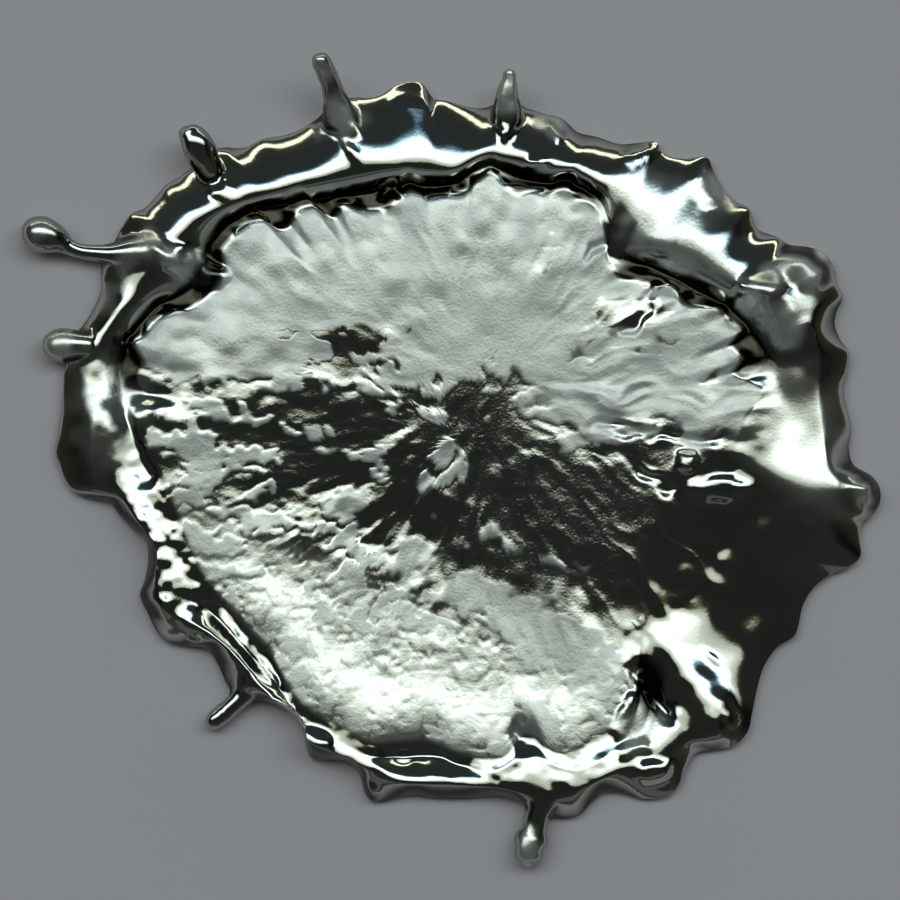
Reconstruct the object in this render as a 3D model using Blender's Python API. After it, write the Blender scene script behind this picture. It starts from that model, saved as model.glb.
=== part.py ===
"""A splash of molten tin that set on a flat surface, as one closed solid.

The splash is a thin round sheet: a wrinkled plate in the middle, a smooth channel round it, a thick rounded
rim, and fingers and drops that the rim threw out. Its underside is flat, at z = 0. The plan is read off the
picture of the piece, in pixels, and one pixel is a known length on the piece, so every plan value below is a
pixel place or a pixel radius, and every height is in metres.
"""
import math

import bmesh
import bpy
import numpy as np

# Driving dimensions, in metres.
SPLASH_LENGTH = 0.0310
RIM_HEIGHT = 0.00140
PLATE_HEIGHT = 0.00100
CHANNEL_HEIGHT = 0.00050
EDGE_MIDDLE = 0.00032
EDGE_TUCK = 0.00030

# The picture: its length of the piece in pixels, and the pixel that lies over the origin.
LENGTH_PX = 862.0
PX = SPLASH_LENGTH / LENGTH_PX
ORIGIN_PX = (451.07, 462.44)
POLE_PX = (460.0, 440.0)
IMPACT_PX = (490.0, 378.0)

# Bowl of the plate, as shares of PLATE_HEIGHT: its level behind the middle, the dip in front of the middle,
# the rise to the front, and the slight fall at the back.
BOWL_LEVEL = 0.92
BOWL_DIP = 0.50
BOWL_FRONT = 0.85
BOWL_BACK = -0.06

# Where the bowl's slopes start and how wide they are, in pixels, and how the front one turns to either side.
DIP_START_PX, DIP_WIDTH_PX = 380.0, 210.0
DIP_SHIFT_PX, DIP_SHIFT_X_PX, DIP_SHIFT_WIDTH_PX = 45.0, 470.0, 90.0
FRONT_START_PX, FRONT_WIDTH_PX, FRONT_POWER = 560.0, 240.0, 1.3
BACK_START_PX, BACK_WIDTH_PX = 300.0, 120.0
MIDDLE_X_PX, LEFT_TURN, RIGHT_TURN = 450.0, 0.70, 0.10

# Folds of the plate: heights in metres, number round the impact, and the calmer parts.
FOLD_HEIGHT = 0.00010
LUMP_HEIGHT = 0.00006
FOLDS_ROUND = 40
FOLD_NEAR_PX, FOLD_STEPS_OUT = 40.0, 3.0
LUMP_PX = 34.0
NOISE_CELLS = 64
CALM_SHARE, CALM_PX = 0.06, 150.0
BACK_CALM, CALM_START_PX, CALM_WIDTH_PX = 0.55, 430.0, 100.0
STEADY_SHARE, STEADY_START_PX, STEADY_WIDTH_PX = 0.60, 400.0, 80.0
LIP_CALM, NEAR_LIP_PX = 0.35, 70.0

# Section of the channel and rim: least gaps between its lines, and the roundness of its slopes.
CHANNEL_GAP_PX, CREST_GAP_PX, EDGE_GAP_PX = 9.0, 12.0, 7.0
EVEN_RISE = 0.35
FALL_ROUND, FALL_POWER = 1.25, 0.92
SHOULDER_ROUND, SHOULDER_DEGREES, SHOULDER_WIDTH = 0.5, 46.0, 16.0
BEHIND_ROUND, BEHIND_DEGREES, BEHIND_WIDTH = 0.34, 106.0, 55.0

# Mesh density: directions round the sheet, and the seed of its irregular folds.
DIRECTIONS = 192
CURVE_STEPS = 12
SEED = 11

TIN_COLOUR = (0.62, 0.64, 0.61, 1.0)
TIN_ROUGHNESS = 0.22

# Edge of the sheet without its fingers, clockwise from the left.
OUTLINE_PX = [
    (54, 452), (57, 430), (60, 408), (62, 388), (63, 370), (64, 352), (68, 338), (78, 328), (86, 319), (94, 305),
    (100, 290), (100, 277), (98, 264), (102, 252), (110, 242), (120, 228), (130, 213), (143, 208), (155, 196),
    (165, 184), (180, 175), (190, 166), (199, 156), (210, 149), (220, 145), (232, 147), (246, 146), (262, 138),
    (280, 135), (297, 130), (312, 121), (324, 108), (336, 97), (350, 95), (366, 97), (381, 94), (395, 85),
    (412, 80), (424, 84), (433, 97), (448, 100), (465, 105), (482, 107), (496, 101), (508, 98), (520, 102),
    (531, 108), (546, 113), (562, 117), (578, 131), (598, 136), (620, 143), (638, 142), (657, 141), (664, 153),
    (684, 158), (707, 156), (714, 169), (724, 188), (735, 200), (750, 208), (758, 228), (778, 236), (790, 244),
    (808, 246), (824, 252), (835, 266), (838, 282), (844, 296), (838, 311), (836, 325), (842, 340), (850, 352),
    (849, 370), (845, 386), (846, 400), (851, 420), (852, 434), (850, 448), (855, 465), (872, 475), (881, 488),
    (881, 504), (872, 517), (863, 526), (861, 540), (862, 556), (850, 568), (832, 575), (815, 588), (804, 606),
    (800, 624), (795, 637), (778, 648), (765, 667), (758, 690), (753, 715), (749, 732), (736, 746), (716, 751),
    (698, 754), (688, 768), (680, 786), (668, 797), (645, 800), (624, 794), (606, 793), (592, 804), (578, 817),
    (556, 819), (542, 816), (530, 812), (516, 802), (495, 797), (470, 799), (437, 799), (412, 796), (392, 800),
    (374, 803), (364, 793), (360, 778), (350, 765), (332, 761), (314, 761), (306, 750), (301, 730), (292, 716),
    (276, 707), (260, 702), (246, 702), (233, 700), (227, 688), (217, 665), (206, 650), (188, 647), (168, 643),
    (156, 632), (147, 614), (139, 596), (144, 579), (147, 560), (145, 542), (132, 530), (119, 516), (108, 502),
    (92, 499), (74, 493), (64, 480), (58, 465),
]

# Top line of the rim, with its height as a share of RIM_HEIGHT.
CREST_PX = [
    (98, 452, 0.91), (98, 420, 0.90), (97, 390, 0.74), (96, 362, 0.66), (103, 338, 0.66), (121, 312, 0.74),
    (140, 288, 0.80), (160, 262, 0.90), (180, 236, 0.94), (206, 214, 0.96), (250, 197, 0.96), (300, 183, 0.96),
    (350, 172, 1.00), (400, 165, 1.03), (450, 168, 1.00), (482, 157, 1.03), (512, 158, 1.03), (550, 165, 1.00),
    (582, 173, 0.97), (604, 196, 0.94), (630, 212, 0.88), (648, 234, 0.90), (670, 241, 0.98), (700, 252, 1.00),
    (724, 269, 1.02), (750, 288, 1.04), (785, 298, 1.05), (808, 320, 0.92), (815, 350, 0.82), (815, 385, 0.79),
    (818, 420, 0.82), (824, 455, 0.91), (832, 488, 1.10), (820, 520, 0.97), (800, 548, 0.76), (778, 580, 0.40),
    (764, 615, 0.32), (742, 648, 0.32), (730, 680, 0.42), (722, 708, 0.60), (694, 730, 0.66), (655, 762, 0.70),
    (618, 770, 0.86), (580, 787, 0.90), (540, 795, 0.92), (500, 787, 0.90), (450, 783, 0.90), (400, 781, 0.92),
    (378, 770, 0.95), (348, 754, 1.00), (316, 738, 1.02), (282, 706, 1.00), (256, 683, 0.92), (236, 655, 0.90),
    (204, 630, 0.90), (172, 612, 0.88), (158, 580, 0.88), (157, 550, 0.86), (141, 524, 0.84), (122, 494, 0.82),
    (108, 474, 0.84),
]

# Lowest line of the channel between rim and plate, with its height as a share of CHANNEL_HEIGHT.
CHANNEL_PX = [
    (142, 452, 1.5), (128, 420, 1.4), (124, 390, 1.2), (122, 362, 1.0), (135, 330, 0.9), (158, 305, 0.9),
    (185, 290, 1.0), (203, 268, 1.1), (212, 240, 1.0), (245, 214, 1.0), (290, 204, 1.0), (345, 196, 1.0),
    (400, 186, 1.0), (450, 184, 1.0), (487, 166, 1.2), (530, 180, 1.0), (580, 186, 1.0), (600, 206, 1.20),
    (612, 224, 1.70), (616, 246, 1.45), (630, 258, 1.10), (660, 270, 0.90), (698, 290, 0.90), (736, 314, 1.0),
    (760, 345, 0.9), (776, 378, 1.3), (784, 410, 1.55), (780, 440, 1.75), (770, 475, 2.0), (755, 515, 1.40),
    (742, 550, 1.10), (735, 585, 0.95), (705, 614, 0.90), (668, 640, 1.25), (662, 668, 1.00), (655, 706, 1.00),
    (640, 735, 1.6), (612, 753, 2.20), (575, 770, 2.35), (528, 756, 2.30), (490, 772, 2.35), (440, 757, 1.70),
    (400, 757, 1.70), (370, 755, 2.50), (340, 741, 2.68), (304, 722, 2.72), (284, 692, 2.40), (262, 668, 1.35),
    (240, 643, 1.35), (214, 614, 1.35), (184, 590, 2.30), (172, 556, 2.20), (160, 524, 2.10), (148, 496, 1.90),
    (150, 474, 1.4),
]

# Lobed edge of the plate, with the height of its lip as a share of PLATE_HEIGHT.
LIP_PX = [
    (150, 455, 0.95), (141, 430, 0.90), (135, 412, 0.90), (146, 396, 0.80), (139, 380, 0.80), (143, 362, 0.80),
    (134, 344, 0.80), (146, 333, 0.80), (156, 321, 0.80), (171, 313, 0.80), (190, 309, 0.80), (204, 298, 0.75),
    (218, 284, 0.79), (224, 268, 0.70), (222, 250, 0.70), (232, 238, 0.75), (243, 226, 0.75), (262, 221, 0.75),
    (276, 229, 0.75), (289, 226, 0.75), (298, 211, 0.79), (312, 206, 0.79), (324, 215, 0.79), (334, 217, 0.79),
    (346, 206, 0.79), (358, 210, 0.79), (376, 210, 0.79), (390, 207, 0.79), (400, 198, 0.79), (410, 191, 0.81),
    (420, 194, 0.81), (430, 199, 0.81), (450, 195, 0.81), (466, 191, 0.81), (479, 179, 0.81), (491, 174, 0.81),
    (502, 183, 0.81), (516, 193, 0.81), (532, 192, 0.81), (546, 192, 0.81), (558, 188, 0.81), (567, 188, 0.81),
    (576, 197, 0.81), (592, 204, 0.81), (601, 217, 0.81), (606, 236, 0.81), (608, 254, 0.79), (618, 276, 0.79),
    (640, 281, 0.79), (656, 287, 0.79), (672, 286, 0.79), (684, 303, 0.94), (704, 307, 0.94), (718, 308, 0.94),
    (726, 318, 0.89), (740, 331, 0.89), (730, 345, 0.89), (742, 358, 0.89), (735, 374, 0.89), (762, 387, 0.89),
    (764, 398, 0.89), (750, 412, 1.00), (742, 430, 1.00), (735, 455, 0.95), (722, 480, 0.82), (716, 510, 0.58),
    (724, 540, 0.49), (708, 565, 0.44), (690, 590, 0.43), (656, 614, 0.49), (640, 640, 0.56), (636, 680, 0.66),
    (628, 712, 0.82), (600, 738, 0.93), (560, 754, 1.02), (528, 736, 0.96), (500, 758, 1.06), (460, 755, 1.06),
    (430, 742, 1.08), (400, 742, 1.15), (370, 743, 1.27), (342, 728, 1.29), (308, 709, 1.31), (286, 684, 1.26),
    (268, 650, 1.17), (246, 626, 1.13), (222, 600, 1.09), (202, 573, 1.04), (188, 545, 1.02), (178, 515, 1.01),
    (164, 485, 1.03),
]

# Lumps and pits on the sheet: the two ends and the radius in pixels, and the height in metres.
LUMPS = [
    ((323, 118), (350, 122), 16, 0.00045), ((505, 112), (508, 128), 13, 0.00045),
    ((798, 262), (812, 272), 26, 0.00070), ((768, 300), (785, 330), 24, 0.00030),
    ((745, 288), (775, 283), 15, 0.00025), ((866, 490), (870, 494), 19, 0.00045),
    ((687, 460), (687, 461), 13, 0.00030), ((700, 490), (740, 488), 18, 0.00020),
    ((595, 428), (720, 440), 11, -0.00014), ((652, 690), (666, 718), 17, -0.00020),
    ((648, 662), (694, 684), 36, 0.00012), ((706, 696), (714, 728), 28, 0.00028),
    ((645, 775), (665, 768), 16, 0.00022), ((518, 730), (526, 742), 14, -0.00014),
    ((385, 750), (430, 752), 16, -0.00010), ((312, 740), (322, 745), 14, 0.00018),
    ((158, 258), (214, 280), 12, 0.00038),
]

# Fingers and drops: along each one, the middle in pixels, its height in metres and the radius in pixels.
FINGERS = {
    "long_drop": [
        (150, 252, 0.00072, 18), (130, 253, 0.00068, 17), (113, 254, 0.00064, 12), (100, 253, 0.00060, 9.5),
        (88, 252, 0.00058, 8), (77, 250, 0.00056, 7.5), (67, 246, 0.00058, 8.5), (59, 241, 0.00063, 13),
        (50, 237, 0.00068, 17), (41, 234, 0.00070, 18.5), (32, 231, 0.00068, 16), (25, 229, 0.00066, 10.5),
        (21, 228, 0.00065, 4),
    ],
    "side_drop": [
        (96, 345, 0.00066, 12), (80, 345, 0.00066, 15), (68, 345, 0.00069, 18), (60, 345, 0.00070, 18.5),
        (51, 345, 0.00069, 15.5), (45, 345, 0.00068, 10), (42, 345, 0.00067, 4),
    ],
    "round_knob": [
        (214, 178, 0.00080, 12), (207, 164, 0.00110, 15), (202, 154, 0.00130, 17), (197, 144, 0.00145, 17),
        (191, 136, 0.00150, 13.5), (186, 131, 0.00150, 8), (184, 128, 0.00150, 3.5),
    ],
    "tall_finger": [
        (342, 124, 0.00080, 18), (338, 110, 0.00105, 16), (335, 98, 0.00130, 13), (332, 87, 0.00155, 11),
        (328, 77, 0.00180, 10), (324, 68, 0.00205, 9.5), (320, 61, 0.00222, 8), (318, 57, 0.00230, 4),
    ],
    "short_spike": [
        (508, 126, 0.00085, 15), (507, 110, 0.00105, 15), (507, 98, 0.00120, 13), (508, 88, 0.00132, 10),
        (509, 80, 0.00142, 7.5), (509, 73, 0.00150, 5), (509, 70, 0.00152, 2.5),
    ],
    "front_finger": [
        (552, 788, 0.00070, 16), (543, 803, 0.00068, 16), (537, 816, 0.00062, 14), (534, 828, 0.00060, 13),
        (531, 841, 0.00060, 15.5), (529, 853, 0.00058, 14.5), (528, 862, 0.00052, 9.5), (528, 870, 0.00050, 4),
    ],
    "lower_finger": [
        (262, 684, 0.00045, 11), (250, 692, 0.00046, 11.5), (240, 699, 0.00045, 11), (231, 707, 0.00043, 10.5),
        (222, 715, 0.00042, 10), (214, 722, 0.00042, 9.5), (210, 727, 0.00041, 6), (208, 729, 0.00041, 3),
    ],
}
FINGER_SIDES_STEP = 2
MERGE_DISTANCE = 1e-7

# Rings of the mesh inside the plate: share of the way from the pole to the lip, and the directions used.
PLATE_RINGS = [(0.10, 4), (0.24, 4), (0.38, 2), (0.50, 2), (0.61, 1), (0.71, 1), (0.80, 1), (0.88, 1), (0.95, 1)]
LEDGE_STEPS = (0.0, 0.5)
RISE_STEPS = (0.0, 0.28, 0.55, 0.8)
FALL_STEPS = (0.0, 0.45, 0.75, 0.93, 1.0)
TUCK_DEGREES = (45.0,)


def smoothstep(value):
    """Ease from 0 to 1 with no slope at either end."""
    t = np.clip(value, 0.0, 1.0)
    return t * t * (3.0 - 2.0 * t)


def closed_curve(points):
    """Points close together on the smooth closed curve through the given ones, for every column."""
    here = np.array(points, float)
    before, after, beyond = np.roll(here, 1, 0), np.roll(here, -1, 0), np.roll(here, -2, 0)
    before, here, after, beyond = (p[:, None, :] for p in (before, here, after, beyond))
    t = np.linspace(0.0, 1.0, CURVE_STEPS, endpoint=False)[None, :, None]
    curve = 0.5 * (
        2 * here
        + (after - before) * t
        + (2 * before - 5 * here + 4 * after - beyond) * t**2
        + (3 * here - before - 3 * after + beyond) * t**3
    )
    return curve.reshape(-1, curve.shape[-1])


def polar(x, y, centre):
    """Angle and distance of picture points about a centre; the picture's y runs down."""
    dx = np.asarray(x, float) - centre[0]
    dy = centre[1] - np.asarray(y, float)
    return np.arctan2(dy, dx), np.hypot(dx, dy)


def along_angle(points, theta):
    """Radius about the pole, and each further column, of a closed curve in the directions theta."""
    curve = closed_curve(points)
    angle, radius = polar(curve[:, 0], curve[:, 1], POLE_PX)
    order = np.argsort(angle)
    columns = np.column_stack([radius, curve[:, 2:]])[order]
    angle = angle[order]
    turn = 2.0 * math.pi
    wrapped = np.concatenate([angle - turn, angle, angle + turn])
    columns = np.concatenate([columns, columns, columns])
    return [np.interp(theta, wrapped, columns[:, k]) for k in range(columns.shape[1])]


def lattice_noise(x, y, seed, columns, rows):
    """Smooth noise of -1 to 1 that repeats after the given columns and rows."""
    grid = np.random.default_rng(seed).uniform(-1.0, 1.0, (rows, columns))
    col, row = np.floor(x).astype(int), np.floor(y).astype(int)
    u, v = smoothstep(x - col), smoothstep(y - row)
    col, row = col % columns, row % rows
    next_col, next_row = (col + 1) % columns, (row + 1) % rows
    low = grid[row, col] * (1.0 - u) + grid[row, next_col] * u
    high = grid[next_row, col] * (1.0 - u) + grid[next_row, next_col] * u
    return low * (1.0 - v) + high * v


def lump_height(x, y):
    """Height that the lumps and pits add at picture points."""
    total = np.zeros_like(x)
    for (x0, y0), (x1, y1), radius, height in LUMPS:
        dx, dy = x1 - x0, y1 - y0
        t = np.clip(((x - x0) * dx + (y - y0) * dy) / (dx * dx + dy * dy), 0.0, 1.0)
        near = ((x - x0 - t * dx) ** 2 + (y - y0 - t * dy) ** 2) / radius**2
        total += height * np.clip(1.0 - near, 0.0, 1.0) ** 2
    return total


def bowl_height(x, y):
    """Height of the plate without its folds: lowest in front of the middle, and rising to the front rim."""
    forward = y + LEFT_TURN * np.clip(MIDDLE_X_PX - x, 0.0, None) - RIGHT_TURN * np.clip(x - MIDDLE_X_PX, 0.0, None)
    start = DIP_START_PX + DIP_SHIFT_PX * smoothstep((x - DIP_SHIFT_X_PX) / DIP_SHIFT_WIDTH_PX)
    dip = BOWL_DIP * smoothstep((y - start) / DIP_WIDTH_PX)
    front = BOWL_FRONT * np.clip((forward - FRONT_START_PX) / FRONT_WIDTH_PX, 0.0, None) ** FRONT_POWER
    back = BOWL_BACK * smoothstep((BACK_START_PX - y) / BACK_WIDTH_PX)
    return PLATE_HEIGHT * (BOWL_LEVEL - dip + front + back)


def fold_height(x, y):
    """Radial folds about the point of impact, which grow outwards, and low lumps over them."""
    angle, radius = polar(x, y, IMPACT_PX)
    grow = CALM_SHARE + (1.0 - CALM_SHARE) * smoothstep(radius / CALM_PX)
    out = np.log1p(radius / FOLD_NEAR_PX) * FOLD_STEPS_OUT
    fold = lattice_noise(angle / (2 * math.pi) * FOLDS_ROUND, out, SEED, FOLDS_ROUND, NOISE_CELLS)
    fold *= 1.0 - BACK_CALM * smoothstep((CALM_START_PX - y) / CALM_WIDTH_PX)
    lump = lattice_noise(x / LUMP_PX, y / LUMP_PX, SEED + 3, NOISE_CELLS, NOISE_CELLS)
    steady = 1.0 - STEADY_SHARE * smoothstep((STEADY_START_PX - y) / STEADY_WIDTH_PX)
    return grow * steady * (FOLD_HEIGHT * fold + LUMP_HEIGHT * lump)


def plate_height(x, y, radius, lip_radius, lip_height):
    """Height of the plate, which bends to the height of its lip near the edge."""
    near_lip = smoothstep((radius - lip_radius) / NEAR_LIP_PX + 1.0)
    base = bowl_height(x, y) * (1.0 - near_lip) + lip_height * near_lip
    return base + fold_height(x, y) * (1.0 - LIP_CALM * near_lip)


def ledge_drop(step):
    """Share of the drop from the lip to the channel: flat at the lip and steep at the foot."""
    return 1.0 - math.cos(0.5 * math.pi * step)


def rim_rise(step):
    """Share of the rise from the channel to the crest, which flattens towards the crest."""
    return EVEN_RISE * smoothstep(step) + (1.0 - EVEN_RISE) * math.sin(0.5 * math.pi * step)


def rim_fall(step, theta):
    """Share of the crest's height above the edge that is left: the back and its right shoulder are rounder."""
    away = (np.degrees(theta) - SHOULDER_DEGREES + 180.0) % 360.0 - 180.0
    behind = (np.degrees(theta) - BEHIND_DEGREES + 180.0) % 360.0 - 180.0
    power = FALL_ROUND + SHOULDER_ROUND * np.exp(-((away / SHOULDER_WIDTH) ** 2))
    power = power + BEHIND_ROUND * np.exp(-((behind / BEHIND_WIDTH) ** 2))
    return (1.0 - step**power) ** FALL_POWER


class Section:
    """The radii and heights of the sheet's section in each direction round the pole."""

    def __init__(self, theta):
        self.theta = theta
        self.outer = along_angle(OUTLINE_PX, theta)[0]
        self.crest, self.crest_z = along_angle(CREST_PX, theta)
        self.channel, self.channel_z = along_angle(CHANNEL_PX, theta)
        self.lip, self.lip_z = along_angle(LIP_PX, theta)
        self.crest_z = self.crest_z * RIM_HEIGHT
        self.channel_z = self.channel_z * CHANNEL_HEIGHT
        self.lip_z = self.lip_z * PLATE_HEIGHT
        self.channel = np.maximum(self.channel, self.lip + CHANNEL_GAP_PX)
        self.crest = np.minimum(np.maximum(self.crest, self.channel + CREST_GAP_PX), self.outer - EDGE_GAP_PX)

    def ring(self, radius, height):
        """Picture x and y, and height with the lumps added, of one ring of the mesh."""
        x = POLE_PX[0] + radius * np.cos(self.theta)
        y = POLE_PX[1] - radius * np.sin(self.theta)
        return np.column_stack([x, y, height + lump_height(x, y)])

    def plate_ring(self, share):
        """Ring on the plate, at a share of the way to the lip."""
        radius = self.lip * share
        x = POLE_PX[0] + radius * np.cos(self.theta)
        y = POLE_PX[1] - radius * np.sin(self.theta)
        return self.ring(radius, plate_height(x, y, radius, self.lip, self.lip_z))

    def top_rings(self):
        """Rings from the lip over the channel and the rim to the outermost edge."""
        rings = []
        for step in LEDGE_STEPS:
            radius = self.lip + (self.channel - self.lip) * step
            rings.append(self.ring(radius, self.lip_z + (self.channel_z - self.lip_z) * ledge_drop(step)))
        for step in RISE_STEPS:
            radius = self.channel + (self.crest - self.channel) * step
            rings.append(self.ring(radius, self.channel_z + (self.crest_z - self.channel_z) * rim_rise(step)))
        for step in FALL_STEPS:
            radius = self.crest + (self.outer - self.crest) * step
            rings.append(self.ring(radius, EDGE_MIDDLE + (self.crest_z - EDGE_MIDDLE) * rim_fall(step, self.theta)))
        rings[-1][:, 2] = EDGE_MIDDLE
        return rings

    def under_rings(self):
        """Rings that round the edge under, ending on the flat underside."""
        rings = []
        for degrees in TUCK_DEGREES + (90.0,):
            angle = math.radians(degrees)
            radius = self.outer - EDGE_TUCK / PX * (1.0 - math.cos(angle))
            x = POLE_PX[0] + radius * np.cos(self.theta)
            y = POLE_PX[1] - radius * np.sin(self.theta)
            rings.append(np.column_stack([x, y, np.full_like(x, EDGE_MIDDLE * (1.0 - math.sin(angle)))]))
        rings[-1][:, 2] = 0.0
        return rings


def to_metres(point):
    """Model place of a picture point and its height."""
    return ((point[0] - ORIGIN_PX[0]) * PX, (ORIGIN_PX[1] - point[1]) * PX, point[2])


def bridge(mesh, inner, outer):
    """Faces between two rings of vertices, the outer of which has as many vertices or twice as many."""
    ratio = len(outer) // len(inner)
    for k, vert in enumerate(inner):
        following = inner[(k + 1) % len(inner)]
        first, last = outer[k * ratio], outer[(k + 1) * ratio % len(outer)]
        if ratio == 1:
            mesh.faces.new((vert, first, last, following))
            continue
        middle = outer[k * ratio + 1]
        mesh.faces.new((vert, first, middle))
        mesh.faces.new((vert, middle, following))
        mesh.faces.new((following, middle, last))


def make_sheet():
    """The sheet with its plate, channel and rim, as an object."""
    theta = np.linspace(0.0, 2.0 * math.pi, DIRECTIONS, endpoint=False)
    section = Section(theta)
    rings = [section.plate_ring(share)[::skip] for share, skip in PLATE_RINGS]
    rings += section.top_rings() + section.under_rings()
    mesh = bmesh.new()
    pole_x, pole_y = np.array([POLE_PX[0]]), np.array([POLE_PX[1]])
    pole_z = bowl_height(pole_x, pole_y) + fold_height(pole_x, pole_y)
    pole = mesh.verts.new(to_metres((pole_x[0], pole_y[0], pole_z[0])))
    loops = [[mesh.verts.new(to_metres(point)) for point in ring] for ring in rings]
    for k, vert in enumerate(loops[0]):
        mesh.faces.new((pole, vert, loops[0][(k + 1) % len(loops[0])]))
    for inner, outer in zip(loops, loops[1:]):
        bridge(mesh, inner, outer)
    mesh.faces.new(reversed(loops[-1]))
    bmesh.ops.recalc_face_normals(mesh, faces=mesh.faces)
    bmesh.ops.triangulate(mesh, faces=mesh.faces)
    return mesh_object("tin_splash", mesh)


def mesh_object(name, mesh):
    """Object with the given name from a bmesh, linked to the scene."""
    data = bpy.data.meshes.new(name)
    mesh.to_mesh(data)
    mesh.free()
    made = bpy.data.objects.new(name, data)
    bpy.context.collection.objects.link(made)
    return made


def make_finger(name, stations):
    """Tapered round finger along its stations, as a closed mesh that is joined to the sheet."""
    curve = bpy.data.curves.new(name, "CURVE")
    curve.dimensions = "3D"
    curve.bevel_depth = PX
    curve.bevel_resolution = FINGER_SIDES_STEP
    curve.use_fill_caps = True
    curve.twist_mode = "Z_UP"
    spline = curve.splines.new("POLY")
    spline.points.add(len(stations) - 1)
    for point, (x, y, z, radius) in zip(spline.points, stations):
        point.co = (*to_metres((x, y, z)), 1.0)
        point.radius = radius
    guide = bpy.data.objects.new(name, curve)
    bpy.context.collection.objects.link(guide)
    bpy.context.view_layer.update()
    data = bpy.data.meshes.new_from_object(guide.evaluated_get(bpy.context.evaluated_depsgraph_get()))
    bpy.data.objects.remove(guide)
    mesh = bmesh.new()
    mesh.from_mesh(data)
    bpy.data.meshes.remove(data)
    bmesh.ops.remove_doubles(mesh, verts=mesh.verts, dist=MERGE_DISTANCE)
    bmesh.ops.recalc_face_normals(mesh, faces=mesh.faces)
    finger = mesh_object(name, mesh)
    finger.hide_render = True
    finger.display_type = "WIRE"
    return finger


def join_finger(sheet, finger):
    """Melt one finger into the sheet."""
    union = sheet.modifiers.new(finger.name, "BOOLEAN")
    union.operation = "UNION"
    union.solver = "EXACT"
    union.object = finger


def tin_material():
    """Bright cast tin."""
    material = bpy.data.materials.new("tin")
    material.use_nodes = True
    shader = material.node_tree.nodes["Principled BSDF"]
    shader.inputs["Base Color"].default_value = TIN_COLOUR
    shader.inputs["Roughness"].default_value = TIN_ROUGHNESS
    shader.inputs["Metallic"].default_value = 1.0
    return material


def main():
    """Clear the scene and make the splash."""
    for old in list(bpy.data.objects):
        bpy.data.objects.remove(old)
    sheet = make_sheet()
    sheet.data.materials.append(tin_material())
    sheet.data.shade_smooth()
    for name, stations in FINGERS.items():
        join_finger(sheet, make_finger(name, stations))


main()
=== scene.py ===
"""Looks of a splash of molten tin that set on a flat surface.

One piece of metal: a wrinkled, frosted plate in the middle, a smooth channel round it, a thick bright rim, and
the fingers and drops that the rim threw out. The plan is read off the picture of the piece, in pixels of its
900 by 900 frame, and heights are in metres.
"""
import logging
import math
from dataclasses import dataclass, field
from enum import Enum

import bmesh
import bpy
import numpy as np
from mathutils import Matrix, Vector


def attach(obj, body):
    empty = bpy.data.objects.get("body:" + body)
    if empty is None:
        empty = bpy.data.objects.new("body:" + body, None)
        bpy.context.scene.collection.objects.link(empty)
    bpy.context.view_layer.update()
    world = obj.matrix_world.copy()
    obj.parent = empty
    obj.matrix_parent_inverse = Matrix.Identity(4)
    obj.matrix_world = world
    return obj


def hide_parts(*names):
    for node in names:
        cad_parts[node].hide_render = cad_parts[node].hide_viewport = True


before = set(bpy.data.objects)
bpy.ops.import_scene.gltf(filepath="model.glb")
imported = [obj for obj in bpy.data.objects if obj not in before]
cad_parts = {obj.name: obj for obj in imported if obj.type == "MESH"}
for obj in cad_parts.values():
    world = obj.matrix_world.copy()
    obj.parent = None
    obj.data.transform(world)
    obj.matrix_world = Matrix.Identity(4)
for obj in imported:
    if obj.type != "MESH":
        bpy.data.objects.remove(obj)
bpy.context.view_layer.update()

log = logging.getLogger("tin_splash")

Points = list[tuple[float, ...]]
Ring = tuple[np.ndarray, np.ndarray, np.ndarray]
Colour = tuple[float, float, float]
ColourInput = Colour | bpy.types.NodeSocket
ValueInput = float | bpy.types.NodeSocket
Stops = list[tuple[float, Colour]]

SEED = 11
CURVE_STEPS = 12

# Middle of the plate in the picture, and the slanting line where its front begins.
MIDDLE_X = 450.0
FRONT_SLANT = 0.45
FRONT_WIDTH = 60.0


@dataclass(frozen=True)
class Picture:
    """The picture's pixel frame, laid on the piece.

    Its y runs down, and its middle is the middle of the camera's view.
    """

    length_m: float = 0.0310
    length_px: float = 862.0
    origin_px: tuple[float, float] = (451.07, 462.44)
    side_px: float = 900.0
    pole_px: tuple[float, float] = (460.0, 440.0)
    impact_px: tuple[float, float] = (490.0, 378.0)

    @property
    def px(self) -> float:
        """Length of one pixel on the piece, in metres."""
        return self.length_m / self.length_px

    def to_model(self, x: np.ndarray, y: np.ndarray, z: np.ndarray) -> np.ndarray:
        """Model places of picture points.

        Args:
            x: Picture x of each point.
            y: Picture y of each point.
            z: Height of each point in metres.

        Returns:
            One row of x, y and z in metres for each point.
        """
        east = (np.asarray(x, float) - self.origin_px[0]) * self.px
        north = (self.origin_px[1] - np.asarray(y, float)) * self.px
        return np.column_stack([east, north, np.broadcast_to(z, east.shape)])

    def to_picture(self, places: np.ndarray) -> tuple[np.ndarray, np.ndarray]:
        """Picture x and picture y of model places, given as rows of x, y and z in metres."""
        return places[:, 0] / self.px + self.origin_px[0], self.origin_px[1] - places[:, 1] / self.px

    def around(self, x: np.ndarray, y: np.ndarray,
               centre: tuple[float, float]) -> tuple[np.ndarray, np.ndarray]:
        """Angle and distance of picture points about a centre.

        Args:
            x: Picture x of each point.
            y: Picture y of each point.
            centre: The picture point that they turn about.

        Returns:
            Angles in radians, and distances in pixels.
        """
        dx = np.asarray(x, float) - centre[0]
        dy = centre[1] - np.asarray(y, float)
        return np.arctan2(dy, dx), np.hypot(dx, dy)


PICTURE = Picture()


def ease(value: np.ndarray) -> np.ndarray:
    """Go from 0 to 1 with no slope at either end."""
    t = np.clip(value, 0.0, 1.0)
    return t * t * (3.0 - 2.0 * t)


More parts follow.
